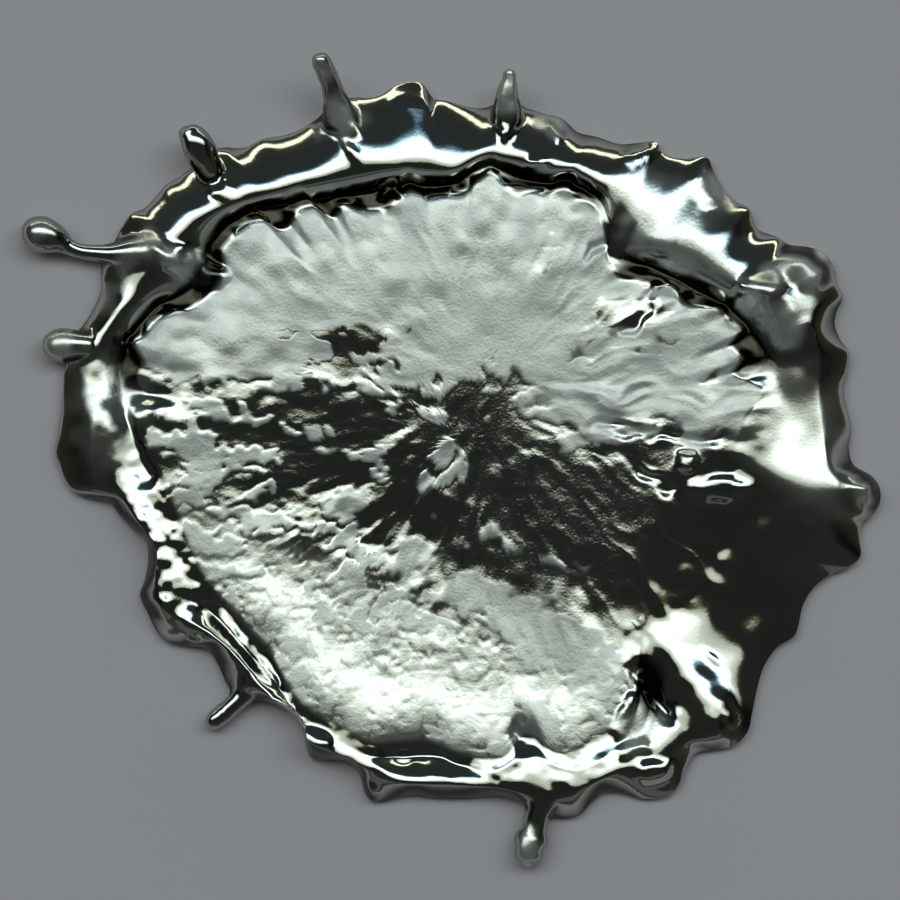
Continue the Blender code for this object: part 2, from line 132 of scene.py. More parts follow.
def bell(value: np.ndarray) -> np.ndarray:
    """One at 0, falling smoothly on both sides."""
    return np.exp(-value * value)


def soft_noise(x: np.ndarray, y: np.ndarray, seed: int, columns: int = 64, rows: int = 64) -> np.ndarray:
    """Smooth noise on a lattice that repeats.

    Args:
        x: Place along the columns, one lattice cell to a unit.
        y: Place along the rows.
        seed: Number that fixes the pattern.
        columns: Cells after which it repeats along x.
        rows: Cells after which it repeats along y.

    Returns:
        Values of -1 to 1.
    """
    grid = np.random.default_rng(SEED + seed).uniform(-1.0, 1.0, (rows, columns))
    col, row = np.floor(x).astype(int), np.floor(y).astype(int)
    u, v = ease(x - col), ease(y - row)
    col, row = col % columns, row % rows
    next_col, next_row = (col + 1) % columns, (row + 1) % rows
    low = grid[row, col] * (1.0 - u) + grid[row, next_col] * u
    high = grid[next_row, col] * (1.0 - u) + grid[next_row, next_col] * u
    return low * (1.0 - v) + high * v


def cell_noise(x: np.ndarray, y: np.ndarray, seed: int, columns: int = 64, rows: int = 64) -> np.ndarray:
    """Distance to the nearest of the points scattered one to a lattice cell.

    Args:
        x: Place along the columns, one lattice cell to a unit.
        y: Place along the rows.
        seed: Number that fixes the pattern.
        columns: Cells after which it repeats along x.
        rows: Cells after which it repeats along y.

    Returns:
        Distances in cells, 0 at a point and about 1 at most.
    """
    jitter = np.random.default_rng(SEED + seed).uniform(0.1, 0.9, (2, rows, columns))
    col, row = np.floor(x).astype(int), np.floor(y).astype(int)
    nearest = np.full(np.shape(x), 9.0)
    for drow in (-1, 0, 1):
        for dcol in (-1, 0, 1):
            c, r = (col + dcol) % columns, (row + drow) % rows
            dx = col + dcol + jitter[0, r, c] - x
            dy = row + drow + jitter[1, r, c] - y
            nearest = np.minimum(nearest, np.hypot(dx, dy))
    return nearest


class ClosedLine:
    """A smooth closed line through picture points, each with further values such as a height."""

    def __init__(self, points: Points) -> None:
        """Lay the line through the points.

        Args:
            points: Rows of picture x, picture y and any further values, once round the pole.
        """
        here = np.array(points, float)
        before, after, beyond = np.roll(here, 1, 0), np.roll(here, -1, 0), np.roll(here, -2, 0)
        before, here, after, beyond = (p[:, None, :] for p in (before, here, after, beyond))
        t = np.linspace(0.0, 1.0, CURVE_STEPS, endpoint=False)[None, :, None]
        curve = 0.5 * (
            2 * here
            + (after - before) * t
            + (2 * before - 5 * here + 4 * after - beyond) * t**2
            + (3 * here - before - 3 * after + beyond) * t**3
        )
        curve = curve.reshape(-1, curve.shape[-1])
        angle, radius = PICTURE.around(curve[:, 0], curve[:, 1], PICTURE.pole_px)
        order = np.argsort(angle)
        columns = np.column_stack([radius, curve[:, 2:]])[order]
        turn = 2.0 * math.pi
        self.angle = np.concatenate([angle[order] - turn, angle[order], angle[order] + turn])
        self.columns = np.concatenate([columns, columns, columns])

    def at(self, theta: np.ndarray, column: int = 0) -> np.ndarray:
        """Radius about the pole in directions in radians, or with column 1 the first further value."""
        return np.interp(theta, self.angle, self.columns[:, column])


@dataclass(frozen=True)
class Patch:
    """A soft oval patch of the picture, strongest at its middle."""

    x: float
    y: float
    half_width: float
    half_depth: float

    def share(self, x: np.ndarray, y: np.ndarray) -> np.ndarray:
        """How strongly the patch covers picture points: 1 at its middle, falling to 0 round it."""
        return bell((x - self.x) / self.half_width) * bell((y - self.y) / self.half_depth)


@dataclass(frozen=True)
class Step:
    """A soft step along x or y of the picture, from 0 at its start to 1 at its end."""

    start: float
    end: float

    def share(self, value: np.ndarray) -> np.ndarray:
        """How far values are up the step, 0 to 1."""
        return ease((value - self.start) / (self.end - self.start))


# Steps along y, named for what grows or fades towards their end.
DENTED_FRONT = Step(400.0, 520.0)
STEADY_BACK = Step(400.0, 320.0)
CALM_BACK = Step(420.0, 340.0)
UNFOLDED_BACK = Step(430.0, 330.0)
CLOUDY_BACK = Step(430.0, 350.0)
SHALLOW_FRONT = Step(590.0, 650.0)
RAISED_RAFTS = Step(330.0, 390.0)
SUNKEN_RAFTS = Step(560.0, 610.0)
BROKEN_RAFTS = Step(560.0, 640.0)
BEVELLED_BACK = Step(480.0, 400.0)
LOWERED_BACK = Step(300.0, 180.0)

# Steps along x.
LEFT_SIDE = Step(470.0, 270.0)
FAR_LEFT = Step(330.0, 270.0)
RIGHT_SIDE = Step(440.0, 530.0)

# Patches of the plate, named for what is found there.
DARK_MIDDLE = Patch(600.0, 520.0, 110.0, 75.0)
LEFT_BEADS = Patch(300.0, 450.0, 170.0, 70.0)
LEFT_LOBES = Patch(180.0, 400.0, 55.0, 80.0)
LEFT_RAFTS = Patch(290.0, 440.0, 150.0, 70.0)
RIGHT_RAYS = Patch(690.0, 355.0, 75.0, 75.0)
LEFT_HOLE = Patch(358.0, 336.0, 74.0, 26.0)
RIGHT_HOLE = Patch(627.0, 310.0, 38.0, 16.0)
MIDDLE_GRAIN = Patch(590.0, 500.0, 150.0, 110.0)
LEFT_GRAIN = Patch(300.0, 450.0, 190.0, 90.0)


def past_front(x: np.ndarray, y: np.ndarray, start_px: float) -> np.ndarray:
    """How far points lie past a slanting line whose y is start_px in the middle, from 0 at the line to 1."""
    return ease((y + FRONT_SLANT * (MIDDLE_X - x) - start_px) / FRONT_WIDTH)


@dataclass(frozen=True)
class Lump:
    """A rounded lump, ridge, pit or groove along a short line on the sheet."""

    start: tuple[float, float]
    end: tuple[float, float]
    radius_px: float
    height_m: float
    end_height_m: float | None = None

    def height(self, x: np.ndarray, y: np.ndarray) -> np.ndarray:
        """Height that it adds at picture points.

        Args:
            x: Picture x of each point.
            y: Picture y of each point.

        Returns:
            Heights in metres, below 0 for a pit.
        """
        dx, dy = self.end[0] - self.start[0], self.end[1] - self.start[1]
        t = ((x - self.start[0]) * dx + (y - self.start[1]) * dy) / (dx * dx + dy * dy)
        t = np.clip(t, 0.0, 1.0)
        away = (x - self.start[0] - t * dx) ** 2 + (y - self.start[1] - t * dy) ** 2
        last = self.height_m if self.end_height_m is None else self.end_height_m
        height = self.height_m + (last - self.height_m) * t
        return height * np.clip(1.0 - away / self.radius_px**2, 0.0, 1.0) ** 2


# Edge of the sheet without its fingers, clockwise from the left.
OUTLINE_PX: Points = [
    (54, 452), (57, 430), (60, 408), (62, 388), (63, 370),
    (64, 352), (68, 338), (78, 328), (86, 319), (94, 305),
    (100, 290), (100, 277), (98, 264), (102, 252), (110, 242), (120, 228), (130, 213), (143, 208), (155, 196),
    (165, 184), (180, 175), (190, 166), (199, 156), (210, 149), (220, 145), (232, 147), (246, 146), (262, 138),
    (280, 135), (297, 130), (312, 121), (324, 108), (336, 97), (350, 95), (366, 97), (381, 94), (395, 85),
    (412, 80), (424, 84), (433, 97), (448, 100), (465, 105), (482, 107), (496, 101), (508, 98), (520, 102),
    (531, 108), (546, 113), (562, 117), (578, 131), (598, 136), (620, 143), (638, 142), (657, 141), (664, 153),
    (684, 158), (707, 156), (714, 169), (724, 188), (735, 200), (750, 208), (758, 228), (778, 236), (790, 244),
    (808, 246), (824, 252), (835, 266), (838, 282), (844, 296), (838, 311), (836, 325), (842, 340), (850, 352),
    (849, 370), (845, 386), (846, 400), (851, 420), (852, 434), (850, 448), (855, 465), (872, 475), (881, 488),
    (881, 504), (872, 517), (863, 526), (861, 540), (862, 556), (850, 568), (832, 575), (815, 588), (804, 606),
    (800, 624), (795, 637), (778, 648), (765, 667), (758, 690), (753, 715), (749, 732), (736, 746), (716, 751),
    (698, 754), (688, 768), (680, 786), (668, 797), (645, 800), (624, 794), (606, 793), (592, 804), (578, 817),
    (556, 819), (542, 816), (530, 812), (516, 802), (495, 797), (470, 799), (437, 799), (412, 796), (392, 800),
    (374, 803), (364, 793), (360, 778), (350, 765), (332, 761), (314, 761), (306, 750), (301, 730), (292, 716),
    (276, 707), (260, 702), (246, 702), (233, 700), (227, 688), (217, 665), (206, 650), (188, 647), (168, 643),
    (156, 632), (147, 614), (139, 596), (144, 579), (147, 560), (145, 542), (132, 530), (119, 516), (108, 502),
    (92, 499), (74, 493), (64, 480), (58, 465),
]

# Top line of the rim, with its height as a share of the rim's.
CREST_PX: Points = [
    (98, 452, 0.91), (98, 420, 0.90), (97, 390, 0.74), (96, 362, 0.66), (103, 338, 0.66), (121, 312, 0.74),
    (140, 288, 0.80), (160, 262, 0.90), (180, 236, 0.94), (206, 214, 0.96), (250, 197, 0.96), (300, 183, 0.96),
    (350, 172, 1.00), (400, 165, 1.03), (450, 168, 1.00), (482, 157, 1.03), (512, 158, 1.03), (550, 165, 1.00),
    (582, 173, 0.97), (604, 196, 0.94), (630, 212, 0.88), (648, 234, 0.90), (670, 241, 0.98), (700, 252, 1.00),
    (724, 269, 1.02), (750, 288, 1.04), (785, 298, 1.05), (808, 320, 0.92), (815, 350, 0.82), (815, 385, 0.79),
    (818, 420, 0.82), (824, 455, 0.91), (832, 488, 1.10), (820, 520, 0.97), (800, 548, 0.76), (778, 580, 0.40),
    (764, 615, 0.32), (742, 648, 0.32), (730, 680, 0.42), (722, 708, 0.60), (694, 730, 0.66), (655, 762, 0.70),
    (618, 770, 0.86), (580, 787, 0.90), (540, 795, 0.92), (500, 787, 0.90), (450, 783, 0.90), (400, 781, 0.92),
    (378, 770, 0.95), (348, 754, 1.00), (316, 738, 1.02), (282, 706, 1.00), (256, 683, 0.92), (236, 655, 0.90),
    (204, 630, 0.90), (172, 612, 0.88), (158, 580, 0.88), (157, 550, 0.86), (141, 524, 0.84), (122, 494, 0.82),
    (108, 474, 0.84),
]

# Lowest line of the channel between rim and plate, with its height as a share of the channel's.
CHANNEL_PX: Points = [
    (142, 452, 1.5), (128, 420, 1.4), (124, 390, 1.2), (122, 362, 1.0), (135, 330, 0.9), (158, 305, 0.9),
    (185, 290, 1.0), (203, 268, 1.1), (212, 240, 1.0), (245, 214, 1.0), (290, 204, 1.0), (345, 196, 1.0),
    (400, 186, 1.0), (450, 184, 1.0), (487, 166, 1.2), (530, 180, 1.0), (580, 186, 1.0), (600, 206, 1.20),
    (612, 224, 1.70), (616, 246, 1.45), (630, 258, 1.10), (660, 270, 0.90), (698, 290, 0.90), (736, 314, 1.0),
    (760, 345, 0.9), (776, 378, 1.3), (784, 410, 1.55), (780, 440, 1.75), (770, 475, 2.0), (755, 515, 1.40),
    (742, 550, 1.10), (735, 585, 0.95), (705, 614, 0.90), (668, 640, 1.25), (662, 668, 1.00), (655, 706, 1.00),
    (640, 735, 1.6), (612, 753, 2.20), (575, 770, 2.35), (528, 756, 2.30), (490, 772, 2.35), (440, 757, 1.70),
    (400, 757, 1.70), (370, 755, 2.50), (340, 741, 2.68), (304, 722, 2.72), (284, 692, 2.40), (262, 668, 1.35),
    (240, 643, 1.35), (214, 614, 1.35), (184, 590, 2.30), (172, 556, 2.20), (160, 524, 2.10), (148, 496, 1.90),
    (150, 474, 1.4),
]

# Lobed edge of the plate, with the height of its lip as a share of the plate's.
LIP_PX: Points = [
    (150, 455, 0.95), (141, 430, 0.90), (135, 412, 0.90), (146, 396, 0.80), (139, 380, 0.80), (143, 362, 0.80),
    (134, 344, 0.80), (146, 333, 0.80), (156, 321, 0.80), (171, 313, 0.80), (190, 309, 0.80), (204, 298, 0.75),
    (218, 284, 0.79), (224, 268, 0.70), (222, 250, 0.70), (232, 238, 0.75), (243, 226, 0.75), (262, 221, 0.75),
    (276, 229, 0.75), (289, 226, 0.75), (298, 211, 0.79), (312, 206, 0.79), (324, 215, 0.79), (334, 217, 0.79),
    (346, 206, 0.79), (358, 210, 0.79), (376, 210, 0.79), (390, 207, 0.79), (400, 198, 0.79), (410, 191, 0.81),
    (420, 194, 0.81), (430, 199, 0.81), (450, 195, 0.81), (466, 191, 0.81), (479, 179, 0.81), (491, 174, 0.81),
    (502, 183, 0.81), (516, 193, 0.81), (532, 192, 0.81), (546, 192, 0.81), (558, 188, 0.81), (567, 188, 0.81),
    (576, 197, 0.81), (592, 204, 0.81), (601, 217, 0.81), (606, 236, 0.81), (608, 254, 0.79), (618, 276, 0.79),
    (640, 281, 0.79), (656, 287, 0.79), (672, 286, 0.79), (684, 303, 0.94), (704, 307, 0.94), (718, 308, 0.94),
    (726, 318, 0.89), (740, 331, 0.89), (730, 345, 0.89), (742, 358, 0.89), (735, 374, 0.89), (762, 387, 0.89),
    (764, 398, 0.89), (750, 412, 1.00), (742, 430, 1.00), (735, 455, 0.95), (722, 480, 0.82), (716, 510, 0.58),
    (724, 540, 0.49), (708, 565, 0.44), (690, 590, 0.43), (656, 614, 0.49), (640, 640, 0.56), (636, 680, 0.66),
    (628, 712, 0.82), (600, 738, 0.93), (560, 754, 1.02), (528, 736, 0.96), (500, 758, 1.06), (460, 755, 1.06),
    (430, 742, 1.08), (400, 742, 1.15), (370, 743, 1.27), (342, 728, 1.29), (308, 709, 1.31), (286, 684, 1.26),
    (268, 650, 1.17), (246, 626, 1.13), (222, 600, 1.09), (202, 573, 1.04), (188, 545, 1.02), (178, 515, 1.01),
    (164, 485, 1.03),
]

# Lumps, ridges, pits and grooves, first the large ones and then the small.
LUMPS: list[Lump] = [
    Lump((323, 118), (350, 122), 16, 0.00045), Lump((505, 112), (508, 128), 13, 0.00045),
    Lump((798, 262), (812, 272), 26, 0.00070), Lump((768, 300), (785, 330), 24, 0.00030),
    Lump((745, 288), (775, 283), 15, 0.00025), Lump((866, 490), (870, 494), 19, 0.00045),
    Lump((687, 460), (687, 461), 13, 0.00030), Lump((700, 490), (740, 488), 18, 0.00020),
    Lump((595, 428), (720, 440), 9, -0.00010), Lump((640, 668), (668, 715), 14, -0.00020),
    Lump((648, 662), (694, 684), 36, 0.00012),
    Lump((700, 672), (714, 728), 30, 0.00000, 0.00030), Lump((645, 775), (665, 768), 16, 0.00022),
    Lump((518, 730), (526, 742), 14, -0.00014), Lump((385, 750), (430, 752), 16, -0.00010),
    Lump((312, 740), (322, 745), 15, 0.00018), Lump((398, 98), (425, 104), 13, 0.00010),
    Lump((350, 143), (352, 150), 9, 0.00020), Lump((495, 125), (502, 135), 8, 0.00020),
    Lump((548, 128), (560, 134), 8, 0.00015), Lump((214, 190), (226, 184), 9, 0.00015),
    Lump((632, 155), (650, 150), 9, 0.00012), Lump((704, 175), (712, 200), 12, 0.00020),
    Lump((385, 195), (395, 190), 11, 0.00030), Lump((535, 165), (545, 162), 9, 0.00015),
    Lump((640, 470), (672, 490), 9, -0.00010), Lump((592, 252), (602, 246), 9, -0.00014),
    Lump((628, 330), (655, 288), 9, -0.00012), Lump((625, 752), (640, 745), 12, 0.00015),
    Lump((630, 700), (622, 735), 10, 0.00014),
    Lump((712, 656), (713, 660), 8, 0.00007), Lump((730, 712), (734, 724), 9, 0.00010),
    Lump((370, 790), (372, 795), 11, 0.00022), Lump((230, 690), (240, 690), 10, 0.00015),
    Lump((150, 600), (160, 610), 13, 0.00015), Lump((190, 640), (205, 645), 9, 0.00015),
    Lump((105, 262), (118, 268), 13, 0.00015), Lump((152, 250), (212, 276), 19, 0.00030),
]


# Spots of crystals off the plate: picture x and y, radius in pixels, and how strong they are.
FROST_SPOTS_PX: Points = [
    (806, 268, 26, 0.85), (785, 318, 24, 0.6), (342, 118, 20, 0.7), (509, 95, 20, 0.6), (322, 72, 14, 0.5),
    (61, 345, 18, 0.6), (529, 850, 18, 0.6), (714, 190, 20, 0.5), (770, 285, 18, 0.5), (868, 492, 16, 0.5),
    (41, 234, 12, 0.35), (640, 728, 22, 0.5), (548, 125, 12, 0.4), (790, 420, 50, 0.28),
    (816, 470, 40, 0.22), (112, 395, 36, 0.26), (684, 214, 34, 0.30), (640, 196, 28, 0.26),
    (100, 440, 26, 0.18),
    (610, 206, 13, 0.55), (626, 220, 14, 0.66), (643, 233, 14, 0.70), (662, 242, 14, 0.70),
    (686, 249, 13, 0.66),
    (710, 262, 13, 0.66), (733, 277, 13, 0.66), (752, 298, 15, 0.60), (770, 312, 17, 0.50),
    (150, 246, 16, 0.50), (172, 258, 15, 0.62), (192, 268, 13, 0.66), (128, 262, 14, 0.36),
    (108, 300, 14, 0.30),
]


@dataclass
class Section:
    """Radii in pixels and heights in metres of the sheet's section, in some directions round the pole."""

    theta: np.ndarray
    outer: np.ndarray
    crest: np.ndarray
    crest_z: np.ndarray
    channel: np.ndarray
    channel_z: np.ndarray
    lip: np.ndarray
    lip_z: np.ndarray
    notch: np.ndarray


@dataclass(frozen=True)
class FoldHeights:
    """Heights in metres of the plate's folds and dents, from the wide ones to the narrow ones."""

    fold: float = 0.000095
    ray: float = 0.000085
    lump: float = 0.00006
    lobe: float = 0.00010
    dent: float = 0.000048
    cloud: float = 0.000045
    ridge: float = 0.000038
    fine: float = 0.000034
    raft: float = 0.000030
    curl: float = 0.000024
    knob: float = 0.000022
    bead: float = 0.000016
    hair: float = 0.000012
    crack: float = 0.000008


@dataclass(frozen=True)
class FlowHeights:
    """Heights in metres of the soft waves on the rim and channel, from the wide ones to the narrow ones."""

    swell: float = 0.00004
    wave: float = 0.000012
    churn: float = 0.00004
    froth: float = 0.000018


@dataclass
class Relief:
    """Shape of the sheet's top: plate, channel, rim, lumps and folds."""

    rim_height: float = 0.00140
    plate_height: float = 0.00100
    channel_height: float = 0.00050
    edge_middle: float = 0.00032
    edge_tuck: float = 0.00030
    channel_gap_px: float = 9.0
    crest_gap_px: float = 12.0
    edge_gap_px: float = 7.0
    lobe_span: float = 0.14
    lobe_depth_px: float = 12.0
    shoulder_deg: float = 46.0
    shoulder_width_deg: float = 16.0
    behind_deg: float = 106.0
    behind_width_deg: float = 55.0
    bevel_depth: float = 0.00012
    bevel_px: float = 26.0
    crease_depth: float = 0.00010
    crease_px: float = 45.0
    lip_blend_px: float = 70.0
    foot_step: float = 0.00010
    steadiness: float = 0.60
    calmness: float = 0.78
    front_damping: float = 0.72
    damped_from_px: float = 575.0
    grooved_from_px: float = 560.0
    raft_damping: float = 0.68
    front_sheen: float = 0.46
    sheen_from_px: float = 590.0
    fold_heights: FoldHeights = field(default_factory=FoldHeights)
    flow_heights: FlowHeights = field(default_factory=FlowHeights)
    outline: ClosedLine = field(default_factory=lambda: ClosedLine(OUTLINE_PX))
    crest: ClosedLine = field(default_factory=lambda: ClosedLine(CREST_PX))
    channel: ClosedLine = field(default_factory=lambda: ClosedLine(CHANNEL_PX))
    lip: ClosedLine = field(default_factory=lambda: ClosedLine(LIP_PX))

    def section(self, theta: np.ndarray) -> Section:
        """Section of the sheet in some directions.

        Args:
            theta: Directions about the pole, in radians.

        Returns:
            The section's radii and heights.
        """
        outer, lip = self.outline.at(theta), self.lip.at(theta)
        channel = np.maximum(self.channel.at(theta), lip + self.channel_gap_px)
        crest = np.maximum(self.crest.at(theta), channel + self.crest_gap_px)
        crest = np.minimum(crest, outer - self.edge_gap_px)
        beside = 0.5 * (self.lip.at(theta - self.lobe_span / 2) + self.lip.at(theta + self.lobe_span / 2))
        return Section(
            theta=theta,
            outer=outer,
            crest=crest,
            crest_z=self.crest.at(theta, 1) * self.rim_height,
            channel=channel,
            channel_z=self.channel.at(theta, 1) * self.channel_height,
            lip=lip,
            lip_z=self.lip.at(theta, 1) * self.plate_height,
            notch=np.clip((beside - lip) / self.lobe_depth_px, -1.0, 1.0),
        )

    def bowl(self, x: np.ndarray, y: np.ndarray) -> np.ndarray:
        """Height of the plate without its folds, lowest in front of the middle.

        Args:
            x: Picture x of each point.
            y: Picture y of each point.

        Returns:
            Heights in metres.
        """
        forward = y + 0.70 * np.clip(MIDDLE_X - x, 0.0, 400.0) - 0.10 * np.clip(x - MIDDLE_X, 0.0, 400.0)
        dip_start = 380.0 + 45.0 * ease((x - 470.0) / 90.0)
        front_dip = -0.50 * ease((y - dip_start) / 210.0)
        front_rise = 0.85 * np.clip((forward - 560.0) / 240.0, 0.0, None) ** 1.3
        back_rise = -0.06 * LOWERED_BACK.share(y)
        return self.plate_height * (0.92 + front_dip + front_rise + back_rise)

    def folds(self, x: np.ndarray, y: np.ndarray) -> np.ndarray:
        """Radial folds, lumps and dents of the plate, rougher towards the front left.

        Args:
            x: Picture x of each point.
            y: Picture y of each point.

        Returns:
            Heights in metres, about 0.
        """
        sizes = self.fold_heights
        warp_x = x + 9.0 * soft_noise(x / 31.0, y / 31.0, 1)
        warp_y = y + 9.0 * soft_noise(x / 31.0, y / 31.0, 2)
        angle, radius = PICTURE.around(warp_x, warp_y, PICTURE.impact_px)
        turn = angle / (2.0 * math.pi)
        out = np.log1p(radius / 40.0)
        front, left = DENTED_FRONT.share(y), LEFT_SIDE.share(x)
        middle = DARK_MIDDLE.share(x, y)
        grow = 0.06 + 0.94 * ease(radius / 150.0)
        steady = 1.0 - self.steadiness * STEADY_BACK.share(y)
        calm = 1.0 - self.calmness * CALM_BACK.share(y)

        fold = soft_noise(turn * 40, out * 3.0, 0, 40, 64) * (1.0 - 0.55 * UNFOLDED_BACK.share(y))
        lump = soft_noise(x / 34.0, y / 34.0, 3)
        height = steady * (sizes.fold * fold * (0.3 + 0.7 * ease(radius / 60.0)) + sizes.lump * lump)

        ridge = 1.0 - 2.0 * np.abs(soft_noise(turn * 72, out * 4.5, 4, 72, 64))
        fine = soft_noise(turn * 130, out * 10.0, 5, 130, 64)
        knob = soft_noise(x / 14.0, y / 14.0, 7)
        hair = soft_noise(turn * 210, out * 17.0, 10, 210, 96)
        wrinkle = sizes.ridge * ridge * ease((radius - 20.0) / 70.0)
        wrinkle += sizes.fine * fine * ease((radius - 40.0) / 80.0)
        height += calm * (wrinkle + sizes.knob * knob + sizes.hair * hair * ease((radius - 80.0) / 80.0))

        cloud = soft_noise(x / 23.0, y / 20.0, 28) * CLOUDY_BACK.share(y)
        bead = np.clip(1.0 - (cell_noise(x / 11.0, y / 10.0, 36) / 0.36) ** 2, 0.0, 1.0)
        beaded = np.clip(front * left + LEFT_BEADS.share(x, y) + 0.3 * middle, 0.0, 1.0)
        height += sizes.cloud * cloud + sizes.bead * bead * beaded

        lobe = 0.5 - cell_noise(x / 21.0, y / 17.0, 32)
        height += sizes.lobe * lobe * LEFT_LOBES.share(x, y)
        dent = cell_noise(turn * 96, out * 13.0, 6, 96, 64) - 0.5
        height += front * (0.4 + 0.6 * left) * (1.0 - 0.45 * SHALLOW_FRONT.share(y)) * sizes.dent * dent
        height += sizes.ray * soft_noise(turn * 26, out * 2.4, 37, 26, 64) * RIGHT_RAYS.share(x, y)

        height *= (1.0 - 0.7 * middle) * (1.0 - 0.6 * self.fan(x, y))
        height *= 1.0 - self.front_damping * past_front(x, y, self.damped_from_px)
        cracked = ease((y + 0.3 * (MIDDLE_X - x) - 580.0) / FRONT_WIDTH)
        grooves = sizes.crack * self.crack(x, y) * cracked + sizes.curl * self.curl(x, y)
        height -= grooves * past_front(x, y, self.grooved_from_px)
        height *= 1.0 - self.raft_damping * LEFT_RAFTS.share(x, y)
        raised = RAISED_RAFTS.share(y) * (1.0 - 0.8 * SUNKEN_RAFTS.share(y))
        return grow * height + sizes.raft * self.raft(x, y) * raised

    def crack(self, x: np.ndarray, y: np.ndarray) -> np.ndarray:
        """Share of the thin cracks between the crystals, 0 to 1."""
        return bell(soft_noise(x / 13.0, y / 9.0, 31) / 0.16)

    def curl(self, x: np.ndarray, y: np.ndarray) -> np.ndarray:
        """Share of the short curled grooves of the plate's front, 0 to 1."""
        broken = ease(0.5 + 1.5 * soft_noise(x / 15.0, y / 15.0, 39))
        return bell(soft_noise(x / 11.0, y / 8.0, 38) / 0.13) * broken

    def fan(self, x: np.ndarray, y: np.ndarray) -> np.ndarray:
        """Share of the smooth frosty fan in front of the dark middle, 0 to 1."""
        return bell((y - 620.0 - 0.5 * (x - 510.0)) / 36.0) * bell((x - 555.0) / 75.0)

    def raft(self, x: np.ndarray, y: np.ndarray) -> np.ndarray:
        """Rafts of frosty crystals: they cover the back of the plate, and break up towards the front.

        Args:
            x: Picture x of each point.
            y: Picture y of each point.

        Returns:
            Values of 0 between the rafts to 1 on them.
        """
        warp_x = x + 7.0 * soft_noise(x / 19.0, y / 19.0, 21) + 4.0 * soft_noise(x / 8.0, y / 8.0, 24)
        warp_y = y + 7.0 * soft_noise(x / 19.0, y / 19.0, 22) + 4.0 * soft_noise(x / 8.0, y / 8.0, 25)
        angle, radius = PICTURE.around(warp_x, warp_y, PICTURE.impact_px)
        turn = angle / (2.0 * math.pi)
        out = np.log1p(radius / 40.0)
        patch = 0.8 * ease((radius - 30.0) / 80.0) * soft_noise(turn * 44, out * 7.0, 26, 44, 64)
        patch += 0.7 * soft_noise(warp_x / 29.0, warp_y / 13.0, 23)
        patch += 0.45 * soft_noise(warp_x / 11.0, warp_y / 6.0, 27)
        right, front = RIGHT_SIDE.share(x), BROKEN_RAFTS.share(y)
        edge = 0.04 + 0.10 * FAR_LEFT.share(x) + 0.80 * right * (1.0 - front) + 0.50 * front
        edge += 0.24 * ease((MIDDLE_X - x) / 60.0) * bell((y - 450.0) / 80.0)
        back = ease((400.0 + 85.0 * ease((x - 480.0) / 90.0) - y) / 90.0)
        hole = LEFT_HOLE.share(x, y) + RIGHT_HOLE.share(x, y)
        fan = self.fan(x, y)
        width = 0.16 + 0.6 * right * (1.0 - front) + 0.9 * np.sqrt(fan)
        cover = 2.2 * back * (1.0 - 0.85 * hole) - 0.5 * hole + 3.0 * fan
        return ease((patch - edge + cover) / width)

    def plate(self, x: np.ndarray, y: np.ndarray, radius: np.ndarray, cut: Section) -> np.ndarray:
        """Height of the plate, whose edge swells into lobes with creases between them.

        Args:
            x: Picture x of each point.
            y: Picture y of each point.
            radius: Distance of each point from the pole.
            cut: Section in each point's direction.

        Returns:
            Heights in metres.
        """
        inside = cut.lip - radius
        near_lip = ease(1.0 - inside / self.lip_blend_px)
        base = self.bowl(x, y) * (1.0 - near_lip) + cut.lip_z * near_lip
        bevel = -self.bevel_depth * np.clip(1.0 - inside / self.bevel_px, 0.0, 1.0) ** 2
        bevel = bevel * (1.0 + 0.8 * soft_noise(x / 17.0, y / 17.0, 33)) * BEVELLED_BACK.share(y)
        crease = -self.crease_depth * np.clip(cut.notch, 0.0, 1.0) * ease(1.0 - inside / self.crease_px)
        return base + self.folds(x, y) * (1.0 - 0.35 * near_lip) + bevel + crease

    def top(self, x: np.ndarray, y: np.ndarray, radius: np.ndarray, cut: Section) -> np.ndarray:
        """Height of the sheet's top inside its outermost edge.

        Args:
            x: Picture x of each point.
            y: Picture y of each point.
            radius: Distance of each point from the pole.
            cut: Section in each point's direction.

        Returns:
            Heights in metres.
        """
        plate = self.plate(x, y, np.minimum(radius, cut.lip), cut)
        step = np.clip((radius - cut.lip + 4.0) / (cut.channel - cut.lip + 4.0), 0.0, 1.0)
        ledge = 1.0 - np.cos(0.5 * math.pi * step)
        height = plate * (1.0 - ledge) + cut.channel_z * ledge
        across = np.clip((radius - cut.channel) / (cut.crest - cut.channel), 0.0, 1.0)
        rise = 0.35 * ease(across) + 0.65 * np.sin(0.5 * math.pi * across)
        height = np.where(radius > cut.channel, cut.channel_z + (cut.crest_z - cut.channel_z) * rise, height)
        over = np.clip((radius - cut.crest) / (cut.outer - cut.crest), 0.0, 1.0)
        shoulder = self.near_direction(cut.theta, self.shoulder_deg, self.shoulder_width_deg)
        behind = self.near_direction(cut.theta, self.behind_deg, self.behind_width_deg)
        power = 1.25 + 0.5 * shoulder + 0.34 * behind
        fall = self.edge_middle + (cut.crest_z - self.edge_middle) * (1.0 - over**power) ** 0.92
        height = np.where(radius > cut.crest, fall, height)
        warp_x = x + 5.0 * soft_noise(x / 13.0, y / 13.0, 17)
        warp_y = y + 5.0 * soft_noise(x / 13.0, y / 13.0, 18)
        for lump in LUMPS:
            height = height + lump.height(warp_x, warp_y) * (1.0 - over**6)
        sizes = self.flow_heights
        flow = sizes.swell * soft_noise(x / 38.0, y / 38.0, 8) + sizes.wave * soft_noise(x / 19.0, y / 19.0, 9)
        churn = sizes.churn * soft_noise(x / 12.0, y / 10.0, 34)
        churn += sizes.froth * soft_noise(x / 6.0, y / 6.0, 35)
        lively = ease((340.0 - x) / 60.0) * (0.35 + 0.65 * ease((y - 470.0) / 60.0)) * ease((y - 300.0) / 60.0)
